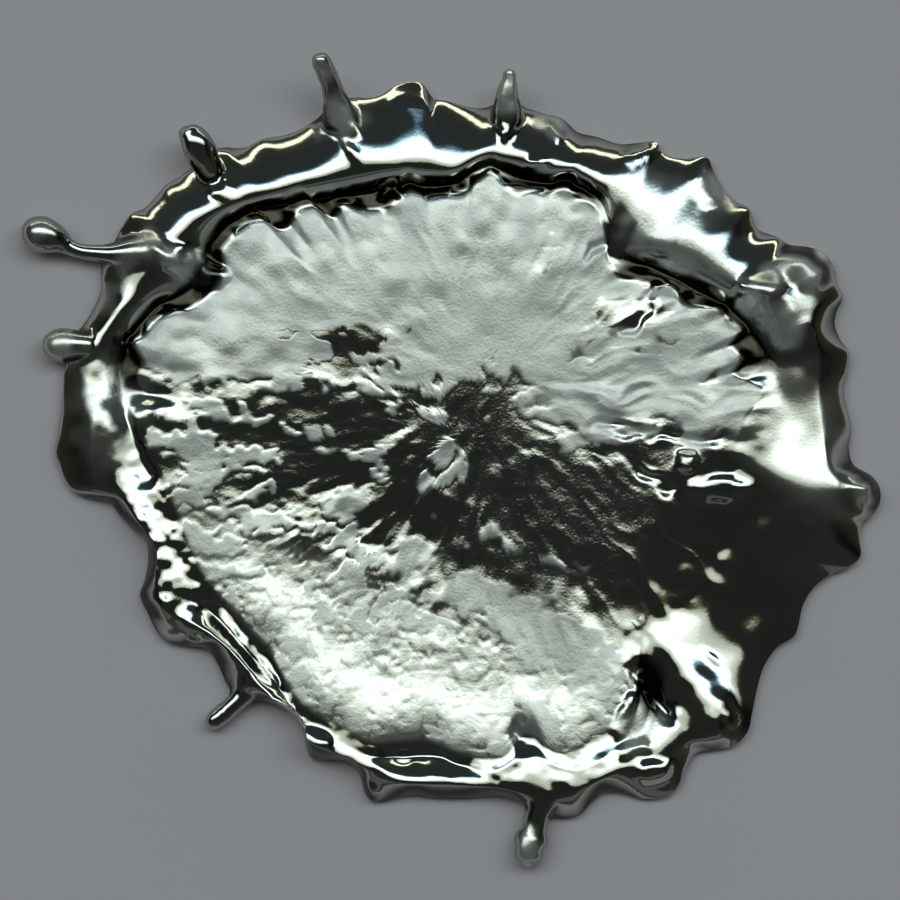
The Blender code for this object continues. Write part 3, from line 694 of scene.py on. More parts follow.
        lively = np.maximum(lively, 0.5 * ease((y - 735.0) / 25.0) * bell((x - 520.0) / 130.0))
        flow = flow + churn * lively
        return height + flow * (1.0 - over) * ease((radius - cut.lip) / 10.0)

    def near_direction(self, theta: np.ndarray, middle_deg: float, width_deg: float) -> np.ndarray:
        """How near directions in radians are to a middle one in degrees: 1 on it, falling to 0 round it."""
        away = (np.degrees(theta) - middle_deg + 180.0) % 360.0 - 180.0
        return bell(away / width_deg)

    def frost(self, x: np.ndarray, y: np.ndarray) -> np.ndarray:
        """Share of fine crystals on the surface: 1 on the back of the plate, 0 on the rim and channel.

        Args:
            x: Picture x of each point.
            y: Picture y of each point.

        Returns:
            Values of 0 to 1.
        """
        theta, radius = PICTURE.around(x, y, PICTURE.pole_px)
        inside = ease((self.lip.at(theta) - radius + 2.0) / 8.0)
        ragged = 25.0 * soft_noise(x / 15.0, y / 15.0, 13)
        cloud = 0.88 + 0.15 * soft_noise(x / 26.0, y / 22.0, 29) + 0.14 * soft_noise(x / 9.0, y / 9.0, 30)
        sheen = self.front_sheen * past_front(x, y, self.sheen_from_px) * (1.0 - 0.6 * self.crack(x, y))
        frost = inside * np.clip(np.maximum(self.raft(x, y) * cloud, sheen), 0.0, 1.0)
        for spot_x, spot_y, spot_px, amount in FROST_SPOTS_PX:
            away = np.hypot(x - spot_x, y - spot_y) + 0.4 * ragged
            frost = np.maximum(frost, amount * ease(1.5 - away / spot_px))
        return frost

    def foot(self, theta: np.ndarray, radius: np.ndarray) -> np.ndarray:
        """Share of painted shade along the foot of the deep parts of the channel, where the crevice lies in
        shade.

        Args:
            theta: Direction of each point from the pole.
            radius: Distance of each point from the pole.

        Returns:
            Values of 0 to 1.
        """
        cut = self.section(theta)
        deep = ease((1.35 - self.channel.at(theta, 1)) / 0.3)
        deep = deep * ease((cut.lip_z - cut.channel_z) / self.foot_step - 0.2)
        return deep * ease((radius - cut.lip) / 4.0) * ease((cut.channel + 10.0 - radius) / 8.0)

    def grain(self, x: np.ndarray, y: np.ndarray) -> np.ndarray:
        """Share of coarse grain: strong on the plate in front of the point of impact, faint elsewhere.

        Args:
            x: Picture x of each point.
            y: Picture y of each point.

        Returns:
            Values of 0 to 1.
        """
        theta, radius = PICTURE.around(x, y, PICTURE.pole_px)
        fade = 14.0 + 80.0 * ease((x - 560.0) / 100.0) * ease((y - 440.0) / 60.0)
        inside = ease((self.lip.at(theta) - radius + 2.0) / fade)
        middle = 0.65 * MIDDLE_GRAIN.share(x, y)
        left = 0.22 * LEFT_GRAIN.share(x, y)
        return inside * np.clip(0.22 + middle + left, 0.0, 1.0)


class SkinChannel(Enum):
    """What the colour channels of the sheet's skin attribute hold."""

    FROST = 0
    UNDER = 1
    GRAIN = 2
    # Painted shade: this channel marks where a near-black colour is painted over the metal, standing in for
    # dark reflections and shade.
    TARNISH = 3


SKIN_ATTRIBUTE = "skin"


def deselect_all() -> None:
    """Leave nothing selected, in object mode."""
    if bpy.context.object and bpy.context.object.mode != "OBJECT":
        bpy.ops.object.mode_set(mode="OBJECT")
    bpy.ops.object.select_all(action="DESELECT")


def make_active(piece: bpy.types.Object) -> None:
    """Select one object alone and make it the active one.

    Args:
        piece: The object.
    """
    deselect_all()
    piece.select_set(True)
    bpy.context.view_layer.objects.active = piece


def places_of(piece: bpy.types.Object) -> np.ndarray:
    """Places of a mesh's points.

    Args:
        piece: The mesh object.

    Returns:
        One row of x, y and z for each point, in metres.
    """
    flat = np.empty(len(piece.data.vertices) * 3, np.float32)
    piece.data.vertices.foreach_get("co", flat)
    return flat.reshape(-1, 3).astype(float)


def move_points(piece: bpy.types.Object, places: np.ndarray) -> None:
    """Set the places of a mesh's points, given as rows of x, y and z in metres."""
    piece.data.vertices.foreach_set("co", np.ascontiguousarray(places, np.float32).ravel())
    piece.data.update()


@dataclass
class Sheet:
    """The sheet: a round grid of points laid over the relief, closed by a flat underside."""

    name: str = "tin_splash_skin"
    directions: int = 760
    plate_rings: int = 54
    inner_rings: int = 39
    inner_share: float = 0.50
    ledge_rings: int = 12
    rise_rings: int = 13
    fall_rings: int = 14
    tuck_rings: int = 4
    under_rings: int = 6
    ledge_px: float = 12.0
    under_ripple_m: float = 0.00003
    merge_m: float = 2e-7
    relief: Relief = field(default_factory=Relief)

    def grid(self, columns: int, rows: int) -> bpy.types.Object:
        """Flat grid of points whose columns go round the pole and whose rows are rings.

        Args:
            columns: Directions round the pole.
            rows: Rings.

        Returns:
            The grid's object, with rows times (columns + 1) points.
        """
        deselect_all()
        bpy.ops.mesh.primitive_grid_add(x_subdivisions=columns, y_subdivisions=rows - 1, size=1.0)
        return bpy.context.object

    def wrap(self, columns: int, rings: list[Ring]) -> bpy.types.Object:
        """Grid whose rows are laid on rings of picture points.

        Args:
            columns: Directions round the pole.
            rings: Picture x, picture y and height of each ring, with its first point repeated at the end.

        Returns:
            The grid's object.
        """
        piece = self.grid(columns, len(rings))
        places = np.concatenate([PICTURE.to_model(x, y, z) for x, y, z in rings])
        move_points(piece, places)
        return piece

    def ring(self, radius: np.ndarray, cut: Section, height: np.ndarray | None = None) -> Ring:
        """Picture points of one ring.

        Args:
            radius: Distance from the pole in each direction.
            cut: Section in each direction.
            height: Heights in metres, or None for the relief's own.

        Returns:
            Picture x, picture y and height.
        """
        x = PICTURE.pole_px[0] + radius * np.cos(cut.theta)
        y = PICTURE.pole_px[1] - radius * np.sin(cut.theta)
        if height is None:
            height = self.relief.top(x, y, radius, cut)
        return x, y, height

    def outer_rings(self, cut: Section) -> list[Ring]:
        """Rings from the middle of the plate over the rim and round under its edge.

        Args:
            cut: Section in each direction.

        Returns:
            The rings, outwards and then under.
        """
        rings = []
        lip_start, ledge_end = cut.lip - self.ledge_px, np.minimum(cut.lip + self.ledge_px, cut.channel)
        for share in np.linspace(0.0, 1.0, self.plate_rings, endpoint=False):
            start = cut.lip * self.inner_share
            rings.append(self.ring(start + (lip_start - start) * share, cut))
        for share in np.linspace(0.0, 1.0, self.ledge_rings, endpoint=False):
            rings.append(self.ring(lip_start + (ledge_end - lip_start) * share, cut))
        for share in np.linspace(0.0, 1.0, self.rise_rings, endpoint=False):
            rings.append(self.ring(ledge_end + (cut.crest - ledge_end) * share, cut))
        for angle in np.linspace(0.0, math.pi / 2, self.fall_rings):
            rings.append(self.ring(cut.crest + (cut.outer - cut.crest) * math.sin(angle), cut))
        tuck_px = self.relief.edge_tuck / PICTURE.px
        for angle in np.linspace(0.0, math.pi / 2, self.tuck_rings + 1)[1:]:
            radius = cut.outer - tuck_px * (1.0 - math.cos(angle))
            height = np.full_like(radius, self.relief.edge_middle * (1.0 - math.sin(angle)))
            rings.append(self.ring(radius, cut, height))
        return rings

    def underside(self, cut: Section) -> list[Ring]:
        """Rings of the underside, flat where it rests and faintly rippled further in.

        Args:
            cut: Section in each direction.

        Returns:
            The rings, inwards to the pole.
        """
        rings = []
        edge = cut.outer - self.relief.edge_tuck / PICTURE.px
        for share in np.linspace(1.0, 0.0, self.under_rings + 1)[1:]:
            radius = edge * share
            x, y, _ = self.ring(radius, cut, np.zeros_like(radius))
            ripple = 0.5 + 0.5 * soft_noise(x / 26.0, y / 26.0, 15)
            rings.append((x, y, self.under_ripple_m * ripple * ease((0.97 - share) / 0.15)))
        return rings

    def build(self) -> bpy.types.Object:
        """Model the sheet as one closed mesh.

        Returns:
            The sheet's object, at the origin.
        """
        around = np.linspace(-math.pi, math.pi, self.directions + 1)
        cut = self.relief.section(around)
        outer = self.wrap(self.directions, self.outer_rings(cut) + self.underside(cut)[:1])
        half = self.relief.section(around[::2])
        inner_rings = []
        for share in np.linspace(self.inner_share, 0.0, self.inner_rings + 1)[1:]:
            inner_rings.append(self.ring(half.lip * share, half))
        inner = self.wrap(self.directions // 2, inner_rings)
        under = self.wrap(self.directions // 2, self.underside(half)[1:])
        return self.close([outer, inner, under])

    def close(self, parts: list[bpy.types.Object]) -> bpy.types.Object:
        """Join the grids, sew their seams and bridge the rings between them.

        Args:
            parts: The grids, each with a seam where its first and last columns meet.

        Returns:
            One closed object with its faces outwards.
        """
        deselect_all()
        for part in parts:
            part.select_set(True)
        bpy.context.view_layer.objects.active = parts[0]
        bpy.ops.object.join()
        piece = bpy.context.object
        piece.name = self.name
        piece.data.name = self.name
        bpy.ops.object.mode_set(mode="EDIT")
        bpy.ops.mesh.select_all(action="SELECT")
        bpy.ops.mesh.remove_doubles(threshold=self.merge_m)
        bpy.ops.object.mode_set(mode="OBJECT")
        self.bridge_gaps(piece)
        bpy.ops.object.mode_set(mode="EDIT")
        bpy.ops.mesh.select_all(action="SELECT")
        bpy.ops.mesh.normals_make_consistent(inside=False)
        bpy.ops.object.mode_set(mode="OBJECT")
        piece.location = (0.0, 0.0, 0.0)
        return piece

    def bridge_gaps(self, piece: bpy.types.Object) -> None:
        """Fill the two open rings, on the plate and on the underside, from each inner loop to its outer one.

        Args:
            piece: The joined grids, in object mode.
        """
        mesh = bmesh.new()
        mesh.from_mesh(piece.data)
        loops = self.open_loops(mesh)
        for above in (True, False):
            pair = [loop for loop in loops if (loop[0].co.z > self.relief.edge_middle / 2) == above]
            inner, outer = sorted(pair, key=len)
            for k, vert in enumerate(inner):
                following = inner[(k + 1) % len(inner)]
                first, middle, last = (outer[(2 * k + step) % len(outer)] for step in range(3))
                mesh.faces.new((vert, first, middle))
                mesh.faces.new((vert, middle, following))
                mesh.faces.new((following, middle, last))
        mesh.to_mesh(piece.data)
        mesh.free()

    def open_loops(self, mesh: bmesh.types.BMesh) -> list[list[bmesh.types.BMVert]]:
        """Open edge loops of a mesh, each in order of angle about the pole.

        Args:
            mesh: The joined grids.

        Returns:
            One list of points for each loop, from the same first direction.
        """
        pole = PICTURE.to_model(*(np.array([v]) for v in PICTURE.pole_px), np.zeros(1))[0]
        left = {vert for edge in mesh.edges if edge.is_boundary for vert in edge.verts}
        loops = []
        while left:
            queue, found = [next(iter(left))], set()
            while queue:
                vert = queue.pop()
                if vert in found:
                    continue
                found.add(vert)
                queue += [edge.other_vert(vert) for edge in vert.link_edges if edge.is_boundary]
            left -= found
            turns = {vert: math.atan2(vert.co.y - pole[1], vert.co.x - pole[0]) for vert in found}
            half_step = math.pi / len(found) / 2
            loops.append(sorted(found, key=lambda vert: (turns[vert] + math.pi + half_step) % (2 * math.pi)))
        return loops


@dataclass(frozen=True)
class Finger:
    """A finger or drop that the rim threw out: a smooth round body along a bent line."""

    name: str
    stations: Points
    lumpiness: float = 0.05
    rings: int = 44
    sides: int = 28
    tip_share: float = 0.07
    root_share: float = 0.02
    lowest_m: float = 0.00001
    merge_m: float = 1e-6

    def path(self, along: np.ndarray) -> np.ndarray:
        """Rows of x, y, z and radius at shares of the way along the stations.

        Args:
            along: Shares from 0 to 1.

        Returns:
            One row for each share, in pixels but for z in metres.
        """
        rows = np.array(self.stations, float)
        rows = np.vstack([2 * rows[0] - rows[1], rows, 2 * rows[-1] - rows[-2]])
        place = along * (len(self.stations) - 1)
        k = np.clip(np.floor(place).astype(int), 0, len(self.stations) - 2)
        t = (place - k)[:, None]
        a, b, c, d = rows[k], rows[k + 1], rows[k + 2], rows[k + 3]
        bend = (2 * a - 5 * b + 4 * c - d) * t**2 + (3 * b - a - 3 * c + d) * t**3
        return 0.5 * (2 * b + (c - a) * t + bend)

    def build(self) -> bpy.types.Object:
        """Model the finger from a ball, whose rings are moved onto the line.

        Returns:
            The finger's object, closed, at the origin.
        """
        deselect_all()
        bpy.ops.mesh.primitive_uv_sphere_add(segments=self.sides, ring_count=self.rings, radius=1.0)
        piece = bpy.context.object
        piece.name = self.name
        ball = places_of(piece)
        along = np.arccos(np.clip(ball[:, 2], -1.0, 1.0)) / math.pi
        turn = np.arctan2(ball[:, 1], ball[:, 0])
        rows = self.path(along)
        ahead, behind = self.path(np.clip(along + 0.01, 0, 1)), self.path(np.clip(along - 0.01, 0, 1))
        scale = np.array([1.0, -1.0, 1.0 / PICTURE.px])
        forward = (ahead[:, :3] - behind[:, :3]) * scale
        forward /= np.linalg.norm(forward, axis=1, keepdims=True)
        side = np.cross(forward, [0.0, 0.0, 1.0])
        side /= np.linalg.norm(side, axis=1, keepdims=True)
        up = np.cross(side, forward)
        to_tip = np.clip((along - 1.0 + self.tip_share) / self.tip_share, 0.0, 1.0)
        tip = np.sqrt(np.clip(1.0 - to_tip**2, 0.0, 1.0))
        root = np.clip(along / self.root_share, 0.0, 1.0)
        uneven = 1.0 + self.lumpiness * soft_noise(turn / math.pi * 3 + 9, along * 9.0, len(self.name), 6, 64)
        radius = np.maximum(rows[:, 3], 1.0) * PICTURE.px * tip * root * uneven
        centre = PICTURE.to_model(rows[:, 0], rows[:, 1], rows[:, 2])
        places = centre + radius[:, None] * (np.cos(turn)[:, None] * side + np.sin(turn)[:, None] * up)
        places[:, 2] = np.maximum(places[:, 2], self.lowest_m)
        move_points(piece, places)
        make_active(piece)
        bpy.ops.object.mode_set(mode="EDIT")
        bpy.ops.mesh.select_all(action="SELECT")
        bpy.ops.mesh.remove_doubles(threshold=self.merge_m)
        bpy.ops.mesh.normals_make_consistent(inside=False)
        bpy.ops.object.mode_set(mode="OBJECT")
        return piece


FINGERS: list[Finger] = [
    Finger("long_drop", [
        (150, 252, 0.00072, 18), (130, 253, 0.00068, 17), (113, 254, 0.00064, 12), (100, 253, 0.00060, 9.5),
        (88, 252, 0.00058, 8), (77, 250, 0.00056, 7.5), (67, 246, 0.00058, 8.5), (59, 241, 0.00063, 13),
        (50, 237, 0.00068, 17), (41, 234, 0.00070, 18.5), (32, 231, 0.00068, 16), (25, 229, 0.00066, 10.5),
        (21, 228, 0.00065, 4),
    ], 0.02),
    Finger("side_drop", [
        (96, 345, 0.00066, 12), (80, 345, 0.00066, 15), (68, 345, 0.00069, 18), (60, 345, 0.00070, 18.5),
        (51, 345, 0.00069, 15.5), (45, 345, 0.00068, 10), (42, 345, 0.00067, 4),
    ], 0.03),
    Finger("round_knob", [
        (214, 178, 0.00080, 12), (207, 164, 0.00110, 15), (202, 154, 0.00130, 17), (197, 144, 0.00145, 17),
        (191, 136, 0.00150, 13.5), (186, 131, 0.00150, 8), (184, 128, 0.00150, 3.5),
    ], 0.03),
    Finger("tall_finger", [
        (342, 124, 0.00080, 18), (338, 110, 0.00105, 16), (335, 98, 0.00130, 13), (332, 87, 0.00155, 11),
        (328, 77, 0.00180, 10), (324, 68, 0.00205, 9.5), (320, 61, 0.00222, 8), (318, 57, 0.00230, 4),
    ], 0.08),
    Finger("short_spike", [
        (508, 126, 0.00085, 15), (507, 110, 0.00105, 15), (507, 98, 0.00120, 13), (508, 88, 0.00132, 10),
        (509, 80, 0.00142, 7.5), (509, 73, 0.00150, 5), (509, 70, 0.00152, 2.5),
    ], 0.10),
    Finger("front_finger", [
        (552, 788, 0.00070, 16), (543, 803, 0.00068, 16), (537, 816, 0.00062, 14), (534, 828, 0.00060, 13),
        (531, 841, 0.00060, 15.5), (529, 853, 0.00058, 14.5), (528, 862, 0.00052, 9.5), (528, 870, 0.00050, 4),
    ], 0.16),
    Finger("lower_finger", [
        (262, 684, 0.00045, 11), (250, 692, 0.00046, 11.5), (240, 699, 0.00045, 11), (231, 707, 0.00043, 10.5),
        (222, 715, 0.00042, 10), (214, 722, 0.00042, 9.5), (210, 727, 0.00041, 6), (208, 729, 0.00041, 3),
    ], 0.06),
]


@dataclass
class Splash:
    """The whole piece: the sheet with its fingers melted in."""

    sheet: Sheet = field(default_factory=Sheet)
    fingers: list[Finger] = field(default_factory=lambda: list(FINGERS))
    blend_px: float = 16.0
    blend_passes: int = 10
    blend_above_m: float = 0.0001
    blend_merge_m: float = 0.00002
    under_top_m: float = 0.00012

    def build(self) -> bpy.types.Object:
        """Model the sheet and the fingers, and join them into one closed mesh.

        Returns:
            The finished piece.
        """
        piece = self.sheet.build()
        log.info("sheet: %d points", len(piece.data.vertices))
        fingers = [finger.build() for finger in self.fingers]
        deselect_all()
        for finger in fingers:
            finger.select_set(True)
        bpy.context.view_layer.objects.active = fingers[0]
        bpy.ops.object.join()
        cluster = bpy.context.object
        make_active(piece)
        union = piece.modifiers.new("fingers", "BOOLEAN")
        union.operation = "UNION"
        union.solver = "EXACT"
        union.object = cluster
        bpy.ops.object.modifier_apply(modifier=union.name)
        bpy.data.objects.remove(cluster)
        self.melt_joints(piece)
        self.paint(piece)
        make_active(piece)
        bpy.ops.object.shade_smooth()
        log.info("splash: %d points, %d faces", len(piece.data.vertices), len(piece.data.polygons))
        return piece

    def melt_joints(self, piece: bpy.types.Object) -> None:
        """Round the crease where each finger leaves the rim, as liquid metal does.

        Args:
            piece: The joined mesh.
        """
        places = places_of(piece)
        x, y = PICTURE.to_picture(places)
        near = np.zeros(len(places), bool)
        for finger in self.fingers:
            for station in finger.stations[1:3]:
                near |= np.hypot(x - station[0], y - station[1]) < self.blend_px + station[3] * 0.5
        near &= places[:, 2] > self.blend_above_m
        make_active(piece)
        for kind in (piece.data.vertices, piece.data.edges, piece.data.polygons):
            kind.foreach_set("select", np.zeros(len(kind), bool))
        piece.data.vertices.foreach_set("select", near)
        bpy.ops.object.mode_set(mode="EDIT")
        bpy.ops.mesh.select_mode(type="VERT")
        bpy.ops.mesh.remove_doubles(threshold=self.blend_merge_m)
        bpy.ops.mesh.vertices_smooth(factor=0.5, repeat=self.blend_passes)
        bpy.ops.mesh.select_all(action="DESELECT")
        bpy.ops.object.mode_set(mode="OBJECT")

    def paint(self, piece: bpy.types.Object) -> None:
        """Store how the skin changes over the metal: its frost, underside, coarse grain and painted shade.

        Args:
            piece: The joined mesh.
        """
        places = places_of(piece)
        x, y = PICTURE.to_picture(places)
        theta, radius = PICTURE.around(x, y, PICTURE.pole_px)
        relief = self.sheet.relief
        under = (places[:, 2] < self.under_top_m) & (radius < relief.outline.at(theta))
        colours = np.ones((len(places), 4))
        colours[:, SkinChannel.FROST.value] = relief.frost(x, y) * ~under
        colours[:, SkinChannel.UNDER.value] = under
        colours[:, SkinChannel.GRAIN.value] = relief.grain(x, y) * ~under
        normals = np.empty(len(places) * 3, np.float32)
        piece.data.vertices.foreach_get("normal", normals)
        # Painted shade: steep slopes outside the crest get a near-black colour standing in for a dark
        # reflection, less on the fingers; the deep channel's foot gets painted shade, and the fan is darkened
        # faintly.
        steep = ease((0.80 - normals.reshape(-1, 3)[:, 2]) / 0.30) * (radius > relief.crest.at(theta))
        steep *= 1.0 - 0.4 * (radius > relief.outline.at(theta) + 1.0)
        dark = np.maximum(np.maximum(steep, relief.foot(theta, radius)), 0.20 * relief.fan(x, y))
        colours[:, SkinChannel.TARNISH.value] = dark * ~under
        layer = piece.data.color_attributes.new(SKIN_ATTRIBUTE, "FLOAT_COLOR", "POINT")
        layer.data.foreach_set("color", colours.ravel())


@dataclass(frozen=True)
class GrainGroup:
    """Shader group of the metal's fine grain: feathery crystals and small pits, as a height and a mask."""

    name: str = "tin_grain"

    def build(self) -> bpy.types.ShaderNodeTree:
        """Make the group, with its scale and its two outputs.

        Returns:
            The node group.
        """
        group = bpy.data.node_groups.new(self.name, "ShaderNodeTree")
        group.interface.new_socket("Vector", in_out="INPUT", socket_type="NodeSocketVector")
        scale = group.interface.new_socket("Scale", in_out="INPUT", socket_type="NodeSocketFloat")
        scale.default_value = 4000.0
        group.interface.new_socket("Height", in_out="OUTPUT", socket_type="NodeSocketFloat")
        group.interface.new_socket("Mask", in_out="OUTPUT", socket_type="NodeSocketFloat")
        nodes, links = group.nodes, group.links
        start, end = nodes.new("NodeGroupInput"), nodes.new("NodeGroupOutput")
        fine = nodes.new("ShaderNodeTexNoise")
        fine.inputs["Detail"].default_value = 4.0
        fine.inputs["Roughness"].default_value = 0.6
        fine.inputs["Distortion"].default_value = 0.6
        cells = nodes.new("ShaderNodeTexVoronoi")
        cells.feature = "F1"
        mix = nodes.new("ShaderNodeMath")
        mix.operation = "MULTIPLY_ADD"
        mix.inputs[1].default_value = 0.45
        links.new(start.outputs["Vector"], fine.inputs["Vector"])
        links.new(start.outputs["Scale"], fine.inputs["Scale"])
        links.new(start.outputs["Vector"], cells.inputs["Vector"])
        links.new(start.outputs["Scale"], cells.inputs["Scale"])
        links.new(cells.outputs["Distance"], mix.inputs[0])
        links.new(fine.outputs["Fac"], mix.inputs[2])
        links.new(mix.outputs[0], end.inputs["Height"])
        links.new(fine.outputs["Fac"], end.inputs["Mask"])
        return group


@dataclass(frozen=True)
class TinFinish:
    """As-cast tin: near-mirror where it set last, frosted by crystals on the plate, dull underneath."""

    bright: Colour = (0.79, 0.80, 0.77)
    frosted: Colour = (0.88, 0.92, 0.90)
    dull: Colour = (0.58, 0.59, 0.58)
    # Near-black colour of the painted shade and painted dark reflections on steep slopes, the channel's foot
    # and the fan.
    painted_shade_colour: Colour = (0.040, 0.037, 0.028)
    frost_metallic: float = 0.60
    mirror_roughness: float = 0.07
    frost_roughness: float = 0.44
    under_roughness: float = 0.50
    grain_roughness: float = 0.20
    least_cover: float = 0.10
    fine_cells: float = 9000.0
    coarse_cells: float = 2600.0
    fine_bump_m: float = 0.000010
    coarse_bump_m: float = 0.000018
    coarse_share: float = 0.40

    def material(self, grain: bpy.types.ShaderNodeTree) -> bpy.types.Material:
        """Make the material.

        Args:
            grain: The grain group.

        Returns:
            The material, with its shader.
        """
        material = bpy.data.materials.new("tin_cast")
        material.use_nodes = True
        tree = material.node_tree
        nodes, links = tree.nodes, tree.links
        shader = nodes["Principled BSDF"]
        place = nodes.new("ShaderNodeTexCoord")
        skin = nodes.new("ShaderNodeAttribute")
        skin.attribute_type = "GEOMETRY"
        skin.attribute_name = SKIN_ATTRIBUTE
        split = nodes.new("ShaderNodeSeparateColor")
        links.new(skin.outputs["Color"], split.inputs["Color"])
        frost, under, rough = split.outputs["Red"], split.outputs["Green"], split.outputs["Blue"]

        fine = self.grain_node(tree, grain, place, self.fine_cells)
        coarse = self.grain_node(tree, grain, place, self.coarse_cells)

        colour = self.mix_colour(tree, frost, self.bright, self.frosted)
        # Painted shade: the skin's alpha lays the near-black colour over steep slopes, the channel's foot and
        # the fan.
        colour = self.mix_colour(tree, skin.outputs["Alpha"], colour, self.painted_shade_colour)
        colour = self.mix_colour(tree, under, colour, self.dull)
        links.new(colour, shader.inputs["Base Color"])

        metal = self.mix_value(tree, frost, 1.0, self.frost_metallic)
        links.new(metal, shader.inputs["Metallic"])

        sheen = self.mix_value(tree, frost, self.mirror_roughness, self.frost_roughness)
        sheen = self.mix_value(tree, under, sheen, self.under_roughness)
        spread = self.combine(tree, "MULTIPLY", coarse.outputs["Mask"], rough)
        spread = self.combine(tree, "MULTIPLY", spread, self.grain_roughness)
        sheen = self.combine(tree, "ADD", sheen, spread)
        links.new(sheen, shader.inputs["Roughness"])

        cover = self.combine(tree, "MAXIMUM", frost, rough)
        cover = self.combine(tree, "MAXIMUM", cover, under)
        cover = self.combine(tree, "MAXIMUM", cover, self.least_cover)
        first = self.bump(tree, fine.outputs["Height"], cover, self.fine_bump_m, None)
        coarse_cover = self.combine(tree, "MULTIPLY", cover, self.coarse_share)
        coarse_cover = self.combine(tree, "MAXIMUM", coarse_cover, rough)
        second = self.bump(tree, coarse.outputs["Height"], coarse_cover, self.coarse_bump_m, first)
        links.new(second, shader.inputs["Normal"])
        return material

    def grain_node(self, tree: bpy.types.ShaderNodeTree, grain: bpy.types.ShaderNodeTree,
                   place: bpy.types.Node, scale: float) -> bpy.types.Node:
        """Place the grain group at one scale, in cells to a metre.

        Args:
            tree: The material's node tree.
            grain: The grain group.
            place: The texture coordinate node.
            scale: Cells to a metre.

        Returns:
            The group's node.
        """
        node = tree.nodes.new("ShaderNodeGroup")
        node.node_tree = grain
        node.inputs["Scale"].default_value = scale
        tree.links.new(place.outputs["Object"], node.inputs["Vector"])
        return node

    def mix_colour(self, tree: bpy.types.ShaderNodeTree, factor: bpy.types.NodeSocket, first: ColourInput,
                   second: ColourInput) -> bpy.types.NodeSocket:
        """Blend two colours, each a tuple or a socket, by a factor socket.

        Args:
            tree: The material's node tree.
            factor: Socket that is 0 for the first colour and 1 for the second.
            first: First colour.
            second: Second colour.

        Returns:
            The blended colour's socket.
        """
        node = tree.nodes.new("ShaderNodeMix")
        node.data_type = "RGBA"
        tree.links.new(factor, node.inputs["Factor"])
        for value, socket in ((first, node.inputs[6]), (second, node.inputs[7])):
            if isinstance(value, tuple):
                socket.default_value = (*value, 1.0)
            else:
                tree.links.new(value, socket)
        return node.outputs[2]

    def mix_value(self, tree: bpy.types.ShaderNodeTree, factor: bpy.types.NodeSocket, first: ValueInput,
                  second: ValueInput) -> bpy.types.NodeSocket:
        """Blend two values, each a number or a socket, by a factor socket.

        Args:
            tree: The material's node tree.
            factor: Socket that is 0 for the first value and 1 for the second.
            first: First value.
            second: Second value.

        Returns:
            The blended value's socket.
        """
        node = tree.nodes.new("ShaderNodeMix")
        node.data_type = "FLOAT"
        tree.links.new(factor, node.inputs["Factor"])
        for value, socket in ((first, node.inputs[2]), (second, node.inputs[3])):
            if isinstance(value, float):
                socket.default_value = value
            else:
                tree.links.new(value, socket)
        return node.outputs[0]

    def combine(self, tree: bpy.types.ShaderNodeTree, operation: str, first: ValueInput,
                second: ValueInput) -> bpy.types.NodeSocket:
        """One sum of two values, each a number or a socket.

        Args:
            tree: The material's node tree.
            operation: The Math node's operation.
            first: First value.
            second: Second value.

        Returns:
            The result's socket.
        """
        node = tree.nodes.new("ShaderNodeMath")
        node.operation = operation
        for value, socket in ((first, node.inputs[0]), (second, node.inputs[1])):
            if isinstance(value, float):
                socket.default_value = value
            else:
                tree.links.new(value, socket)
        return node.outputs[0]

    def bump(self, tree: bpy.types.ShaderNodeTree, height: bpy.types.NodeSocket, cover: bpy.types.NodeSocket,
             distance: float, before: bpy.types.NodeSocket | None) -> bpy.types.NodeSocket:
        """Raise the surface by a height where the cover is strong.

        Args:
            tree: The material's node tree.
            height: Socket of the height, of 0 to 1.
            cover: Socket of how much of it shows.
            distance: Length in metres that a height of 1 stands for.
            before: Normal that it is added to, or None.

        Returns:
            The new normal's socket.
        """
        node = tree.nodes.new("ShaderNodeBump")
        node.inputs["Distance"].default_value = distance
        node.inputs["Strength"].default_value = 1.0
        tree.links.new(self.combine(tree, "MULTIPLY", height, cover), node.inputs["Height"])
        if before is not None:
            tree.links.new(before, node.inputs["Normal"])
        return node.outputs["Normal"]


@dataclass(frozen=True)
class Lamp:
    """A soft rectangular lamp that faces the piece, placed by its angles."""

    name: str
    towards_deg: float
    tilt_deg: float
    width_m: float
    depth_m: float
    watts: float
    colour: Colour = (1.0, 1.0, 1.0)
    distance_m: float = 0.40

    def build(self) -> bpy.types.Object:
        """Make the lamp.

        Returns:
            The lamp's object.
        """
        lamp = bpy.data.lights.new(self.name, "AREA")
        lamp.shape = "RECTANGLE"
        lamp.size, lamp.size_y = self.width_m, self.depth_m
        lamp.energy = self.watts
        lamp.color = self.colour
        made = bpy.data.objects.new(self.name, lamp)
        turn, tilt = math.radians(self.towards_deg), math.radians(self.tilt_deg)
        away = Vector((math.sin(tilt) * math.cos(turn), math.sin(tilt) * math.sin(turn), math.cos(tilt)))
        made.location = away * self.distance_m
        made.rotation_euler = away.to_track_quat("Z", "Y").to_euler()
        bpy.context.collection.objects.link(made)
        return made


LAMPS: list[Lamp] = [
    Lamp("back_softbox", 90.0, 24.0, 0.60, 0.08, 0.10),
    Lamp("low_back", 90.0, 80.0, 0.90, 0.040, 0.17, (0.93, 0.97, 0.72)),
    Lamp("low_front", -90.0, 76.0, 0.70, 0.10, 0.012, (0.85, 0.93, 1.0)),
]


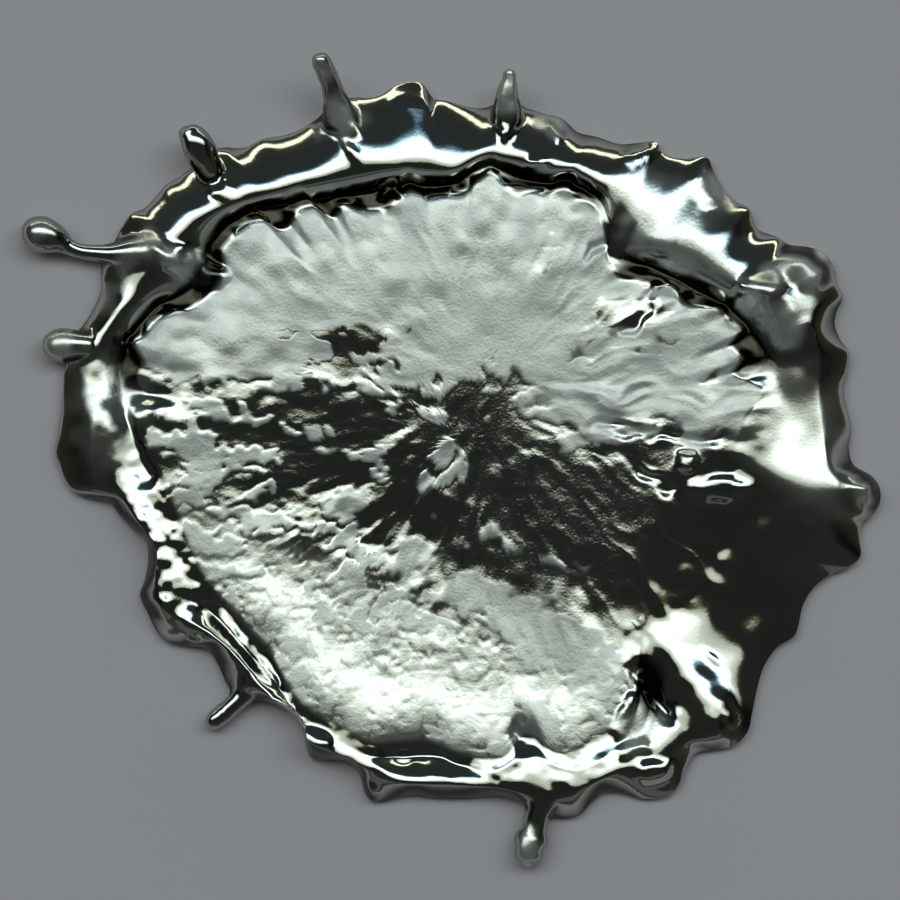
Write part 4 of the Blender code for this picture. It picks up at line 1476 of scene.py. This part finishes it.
@dataclass
class Studio:
    """Plain pale floor, soft lamps, a dim room and the camera over the piece."""

    lens_mm: float = 200.0
    sensor_mm: float = 36.0
    focus_height_m: float = 0.0009
    floor_m: float = 1.2
    floor_drop_m: float = 0.00002
    floor_colour: Colour = (0.70, 0.66, 0.73)
    window_strength: float = 1.6
    window_tint: Colour = (0.90, 1.0, 0.93)
    window_sides: tuple[float, float] = (0.66, 0.86)
    window_stops: Stops = field(default_factory=lambda: [
        (0.000, (0.010, 0.010, 0.010)), (0.018, (0.012, 0.011, 0.010)), (0.032, (0.090, 0.068, 0.032)),
        (0.050, (0.34, 0.33, 0.29)), (0.100, (0.44, 0.44, 0.42)), (0.150, (0.72, 0.72, 0.70)),
        (0.200, (0.96, 0.96, 0.95)), (0.345, (1.0, 1.0, 1.0)), (0.375, (0.70, 0.88, 1.0)),
        (0.405, (0.09, 0.15, 0.23)), (0.440, (0.014, 0.016, 0.018)), (1.000, (0.010, 0.010, 0.009)),
    ])
    wall_stops: Stops = field(default_factory=lambda: [
        (0.00, (0.020, 0.018, 0.013)), (0.20, (0.012, 0.011, 0.008)), (0.45, (0.003, 0.003, 0.003)),
        (1.00, (0.0, 0.0, 0.0)),
    ])
    lamps: list[Lamp] = field(default_factory=lambda: list(LAMPS))

    def build(self) -> None:
        """Make all of it."""
        self.lay_floor()
        for lamp in self.lamps:
            lamp.build()
        self.light_room()
        self.set_camera()
        bpy.context.scene.view_settings.view_transform = "Standard"

    def lay_floor(self) -> None:
        """Lay the floor just under the piece."""
        deselect_all()
        bpy.ops.mesh.primitive_plane_add(size=self.floor_m, location=(0.0, 0.0, -self.floor_drop_m))
        floor = bpy.context.object
        floor.name = "floor"
        material = bpy.data.materials.new("floor_card")
        material.use_nodes = True
        shader = material.node_tree.nodes["Principled BSDF"]
        shader.inputs["Base Color"].default_value = (*self.floor_colour, 1.0)
        shader.inputs["Roughness"].default_value = 0.7
        floor.data.materials.append(material)

    def light_room(self) -> None:
        """Light the room: dark overhead, a wide soft window behind the piece, dim walls at the horizon."""
        world = bpy.data.worlds.new("room")
        world.use_nodes = True
        bpy.context.scene.world = world
        nodes, links = world.node_tree.nodes, world.node_tree.links
        place = nodes.new("ShaderNodeTexCoord")
        split = nodes.new("ShaderNodeSeparateXYZ")
        links.new(place.outputs["Generated"], split.inputs["Vector"])
        tilt = nodes.new("ShaderNodeMath")
        tilt.operation = "ARCTAN2"
        links.new(split.outputs["Y"], tilt.inputs[0])
        links.new(split.outputs["Z"], tilt.inputs[1])
        share = nodes.new("ShaderNodeMapRange")
        share.inputs["From Max"].default_value = math.pi / 2
        links.new(tilt.outputs[0], share.inputs["Value"])
        window = self.ramp(nodes, self.window_stops)
        links.new(share.outputs["Result"], window.inputs["Fac"])
        sideways = nodes.new("ShaderNodeMath")
        sideways.operation = "ABSOLUTE"
        links.new(split.outputs["X"], sideways.inputs[0])
        fade = nodes.new("ShaderNodeMapRange")
        fade.interpolation_type = "SMOOTHSTEP"
        fade.inputs["From Min"].default_value, fade.inputs["From Max"].default_value = self.window_sides
        fade.inputs["To Min"].default_value, fade.inputs["To Max"].default_value = 1.0, 0.0
        links.new(sideways.outputs[0], fade.inputs["Value"])
        shade = nodes.new("ShaderNodeMix")
        shade.data_type = "RGBA"
        shade.blend_type = "MULTIPLY"
        shade.inputs["Factor"].default_value = 1.0
        links.new(window.outputs["Color"], shade.inputs[6])
        links.new(fade.outputs["Result"], shade.inputs[7])
        walls = self.ramp(nodes, self.wall_stops)
        links.new(split.outputs["Z"], walls.inputs["Fac"])
        total = nodes.new("ShaderNodeMix")
        total.data_type = "RGBA"
        total.blend_type = "ADD"
        total.inputs["Factor"].default_value = 1.0
        links.new(shade.outputs[2], total.inputs[6])
        links.new(walls.outputs["Color"], total.inputs[7])
        tinted = nodes.new("ShaderNodeMix")
        tinted.data_type = "RGBA"
        tinted.blend_type = "MULTIPLY"
        tinted.inputs["Factor"].default_value = 1.0
        tinted.inputs[7].default_value = (*self.window_tint, 1.0)
        links.new(total.outputs[2], tinted.inputs[6])
        links.new(tinted.outputs[2], nodes["Background"].inputs["Color"])
        nodes["Background"].inputs["Strength"].default_value = self.window_strength

    def ramp(self, nodes: bpy.types.Nodes, stops: Stops) -> bpy.types.Node:
        """Colour ramp with the given stops.

        Args:
            nodes: The nodes that it is added to.
            stops: Place from 0 to 1 and colour of each stop.

        Returns:
            The ramp's node.
        """
        node = nodes.new("ShaderNodeValToRGB")
        node.color_ramp.interpolation = "EASE"
        elements = node.color_ramp.elements
        while len(elements) < len(stops):
            elements.new(0.5)
        for element, (position, colour) in zip(elements, stops):
            element.position = position
            element.color = (*colour, 1.0)
        return node

    def set_camera(self) -> None:
        """Hang the camera straight over the middle of the picture's frame."""
        camera = bpy.data.cameras.new("camera")
        camera.lens, camera.sensor_width = self.lens_mm, self.sensor_mm
        camera.clip_start, camera.clip_end = 0.01, 5.0
        made = bpy.data.objects.new("camera", camera)
        width = PICTURE.side_px * PICTURE.px
        middle = np.array([PICTURE.side_px / 2])
        place = PICTURE.to_model(middle, middle, np.zeros(1))[0]
        height = self.focus_height_m + width * self.lens_mm / self.sensor_mm
        made.location = (place[0], place[1], height)
        bpy.context.collection.objects.link(made)
        bpy.context.scene.camera = made


def main() -> None:
    """Build the piece and the studio."""
    logging.basicConfig(level=logging.INFO, format="%(name)s: %(message)s")
    piece = Splash().build()
    piece.data.materials.clear()
    piece.data.materials.append(TinFinish().material(GrainGroup().build()))
    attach(piece, "root")
    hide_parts("tin_splash")
    log.info("piece %s is dressed", piece.name)
    Studio().build()


if __name__ == "__main__":
    main()
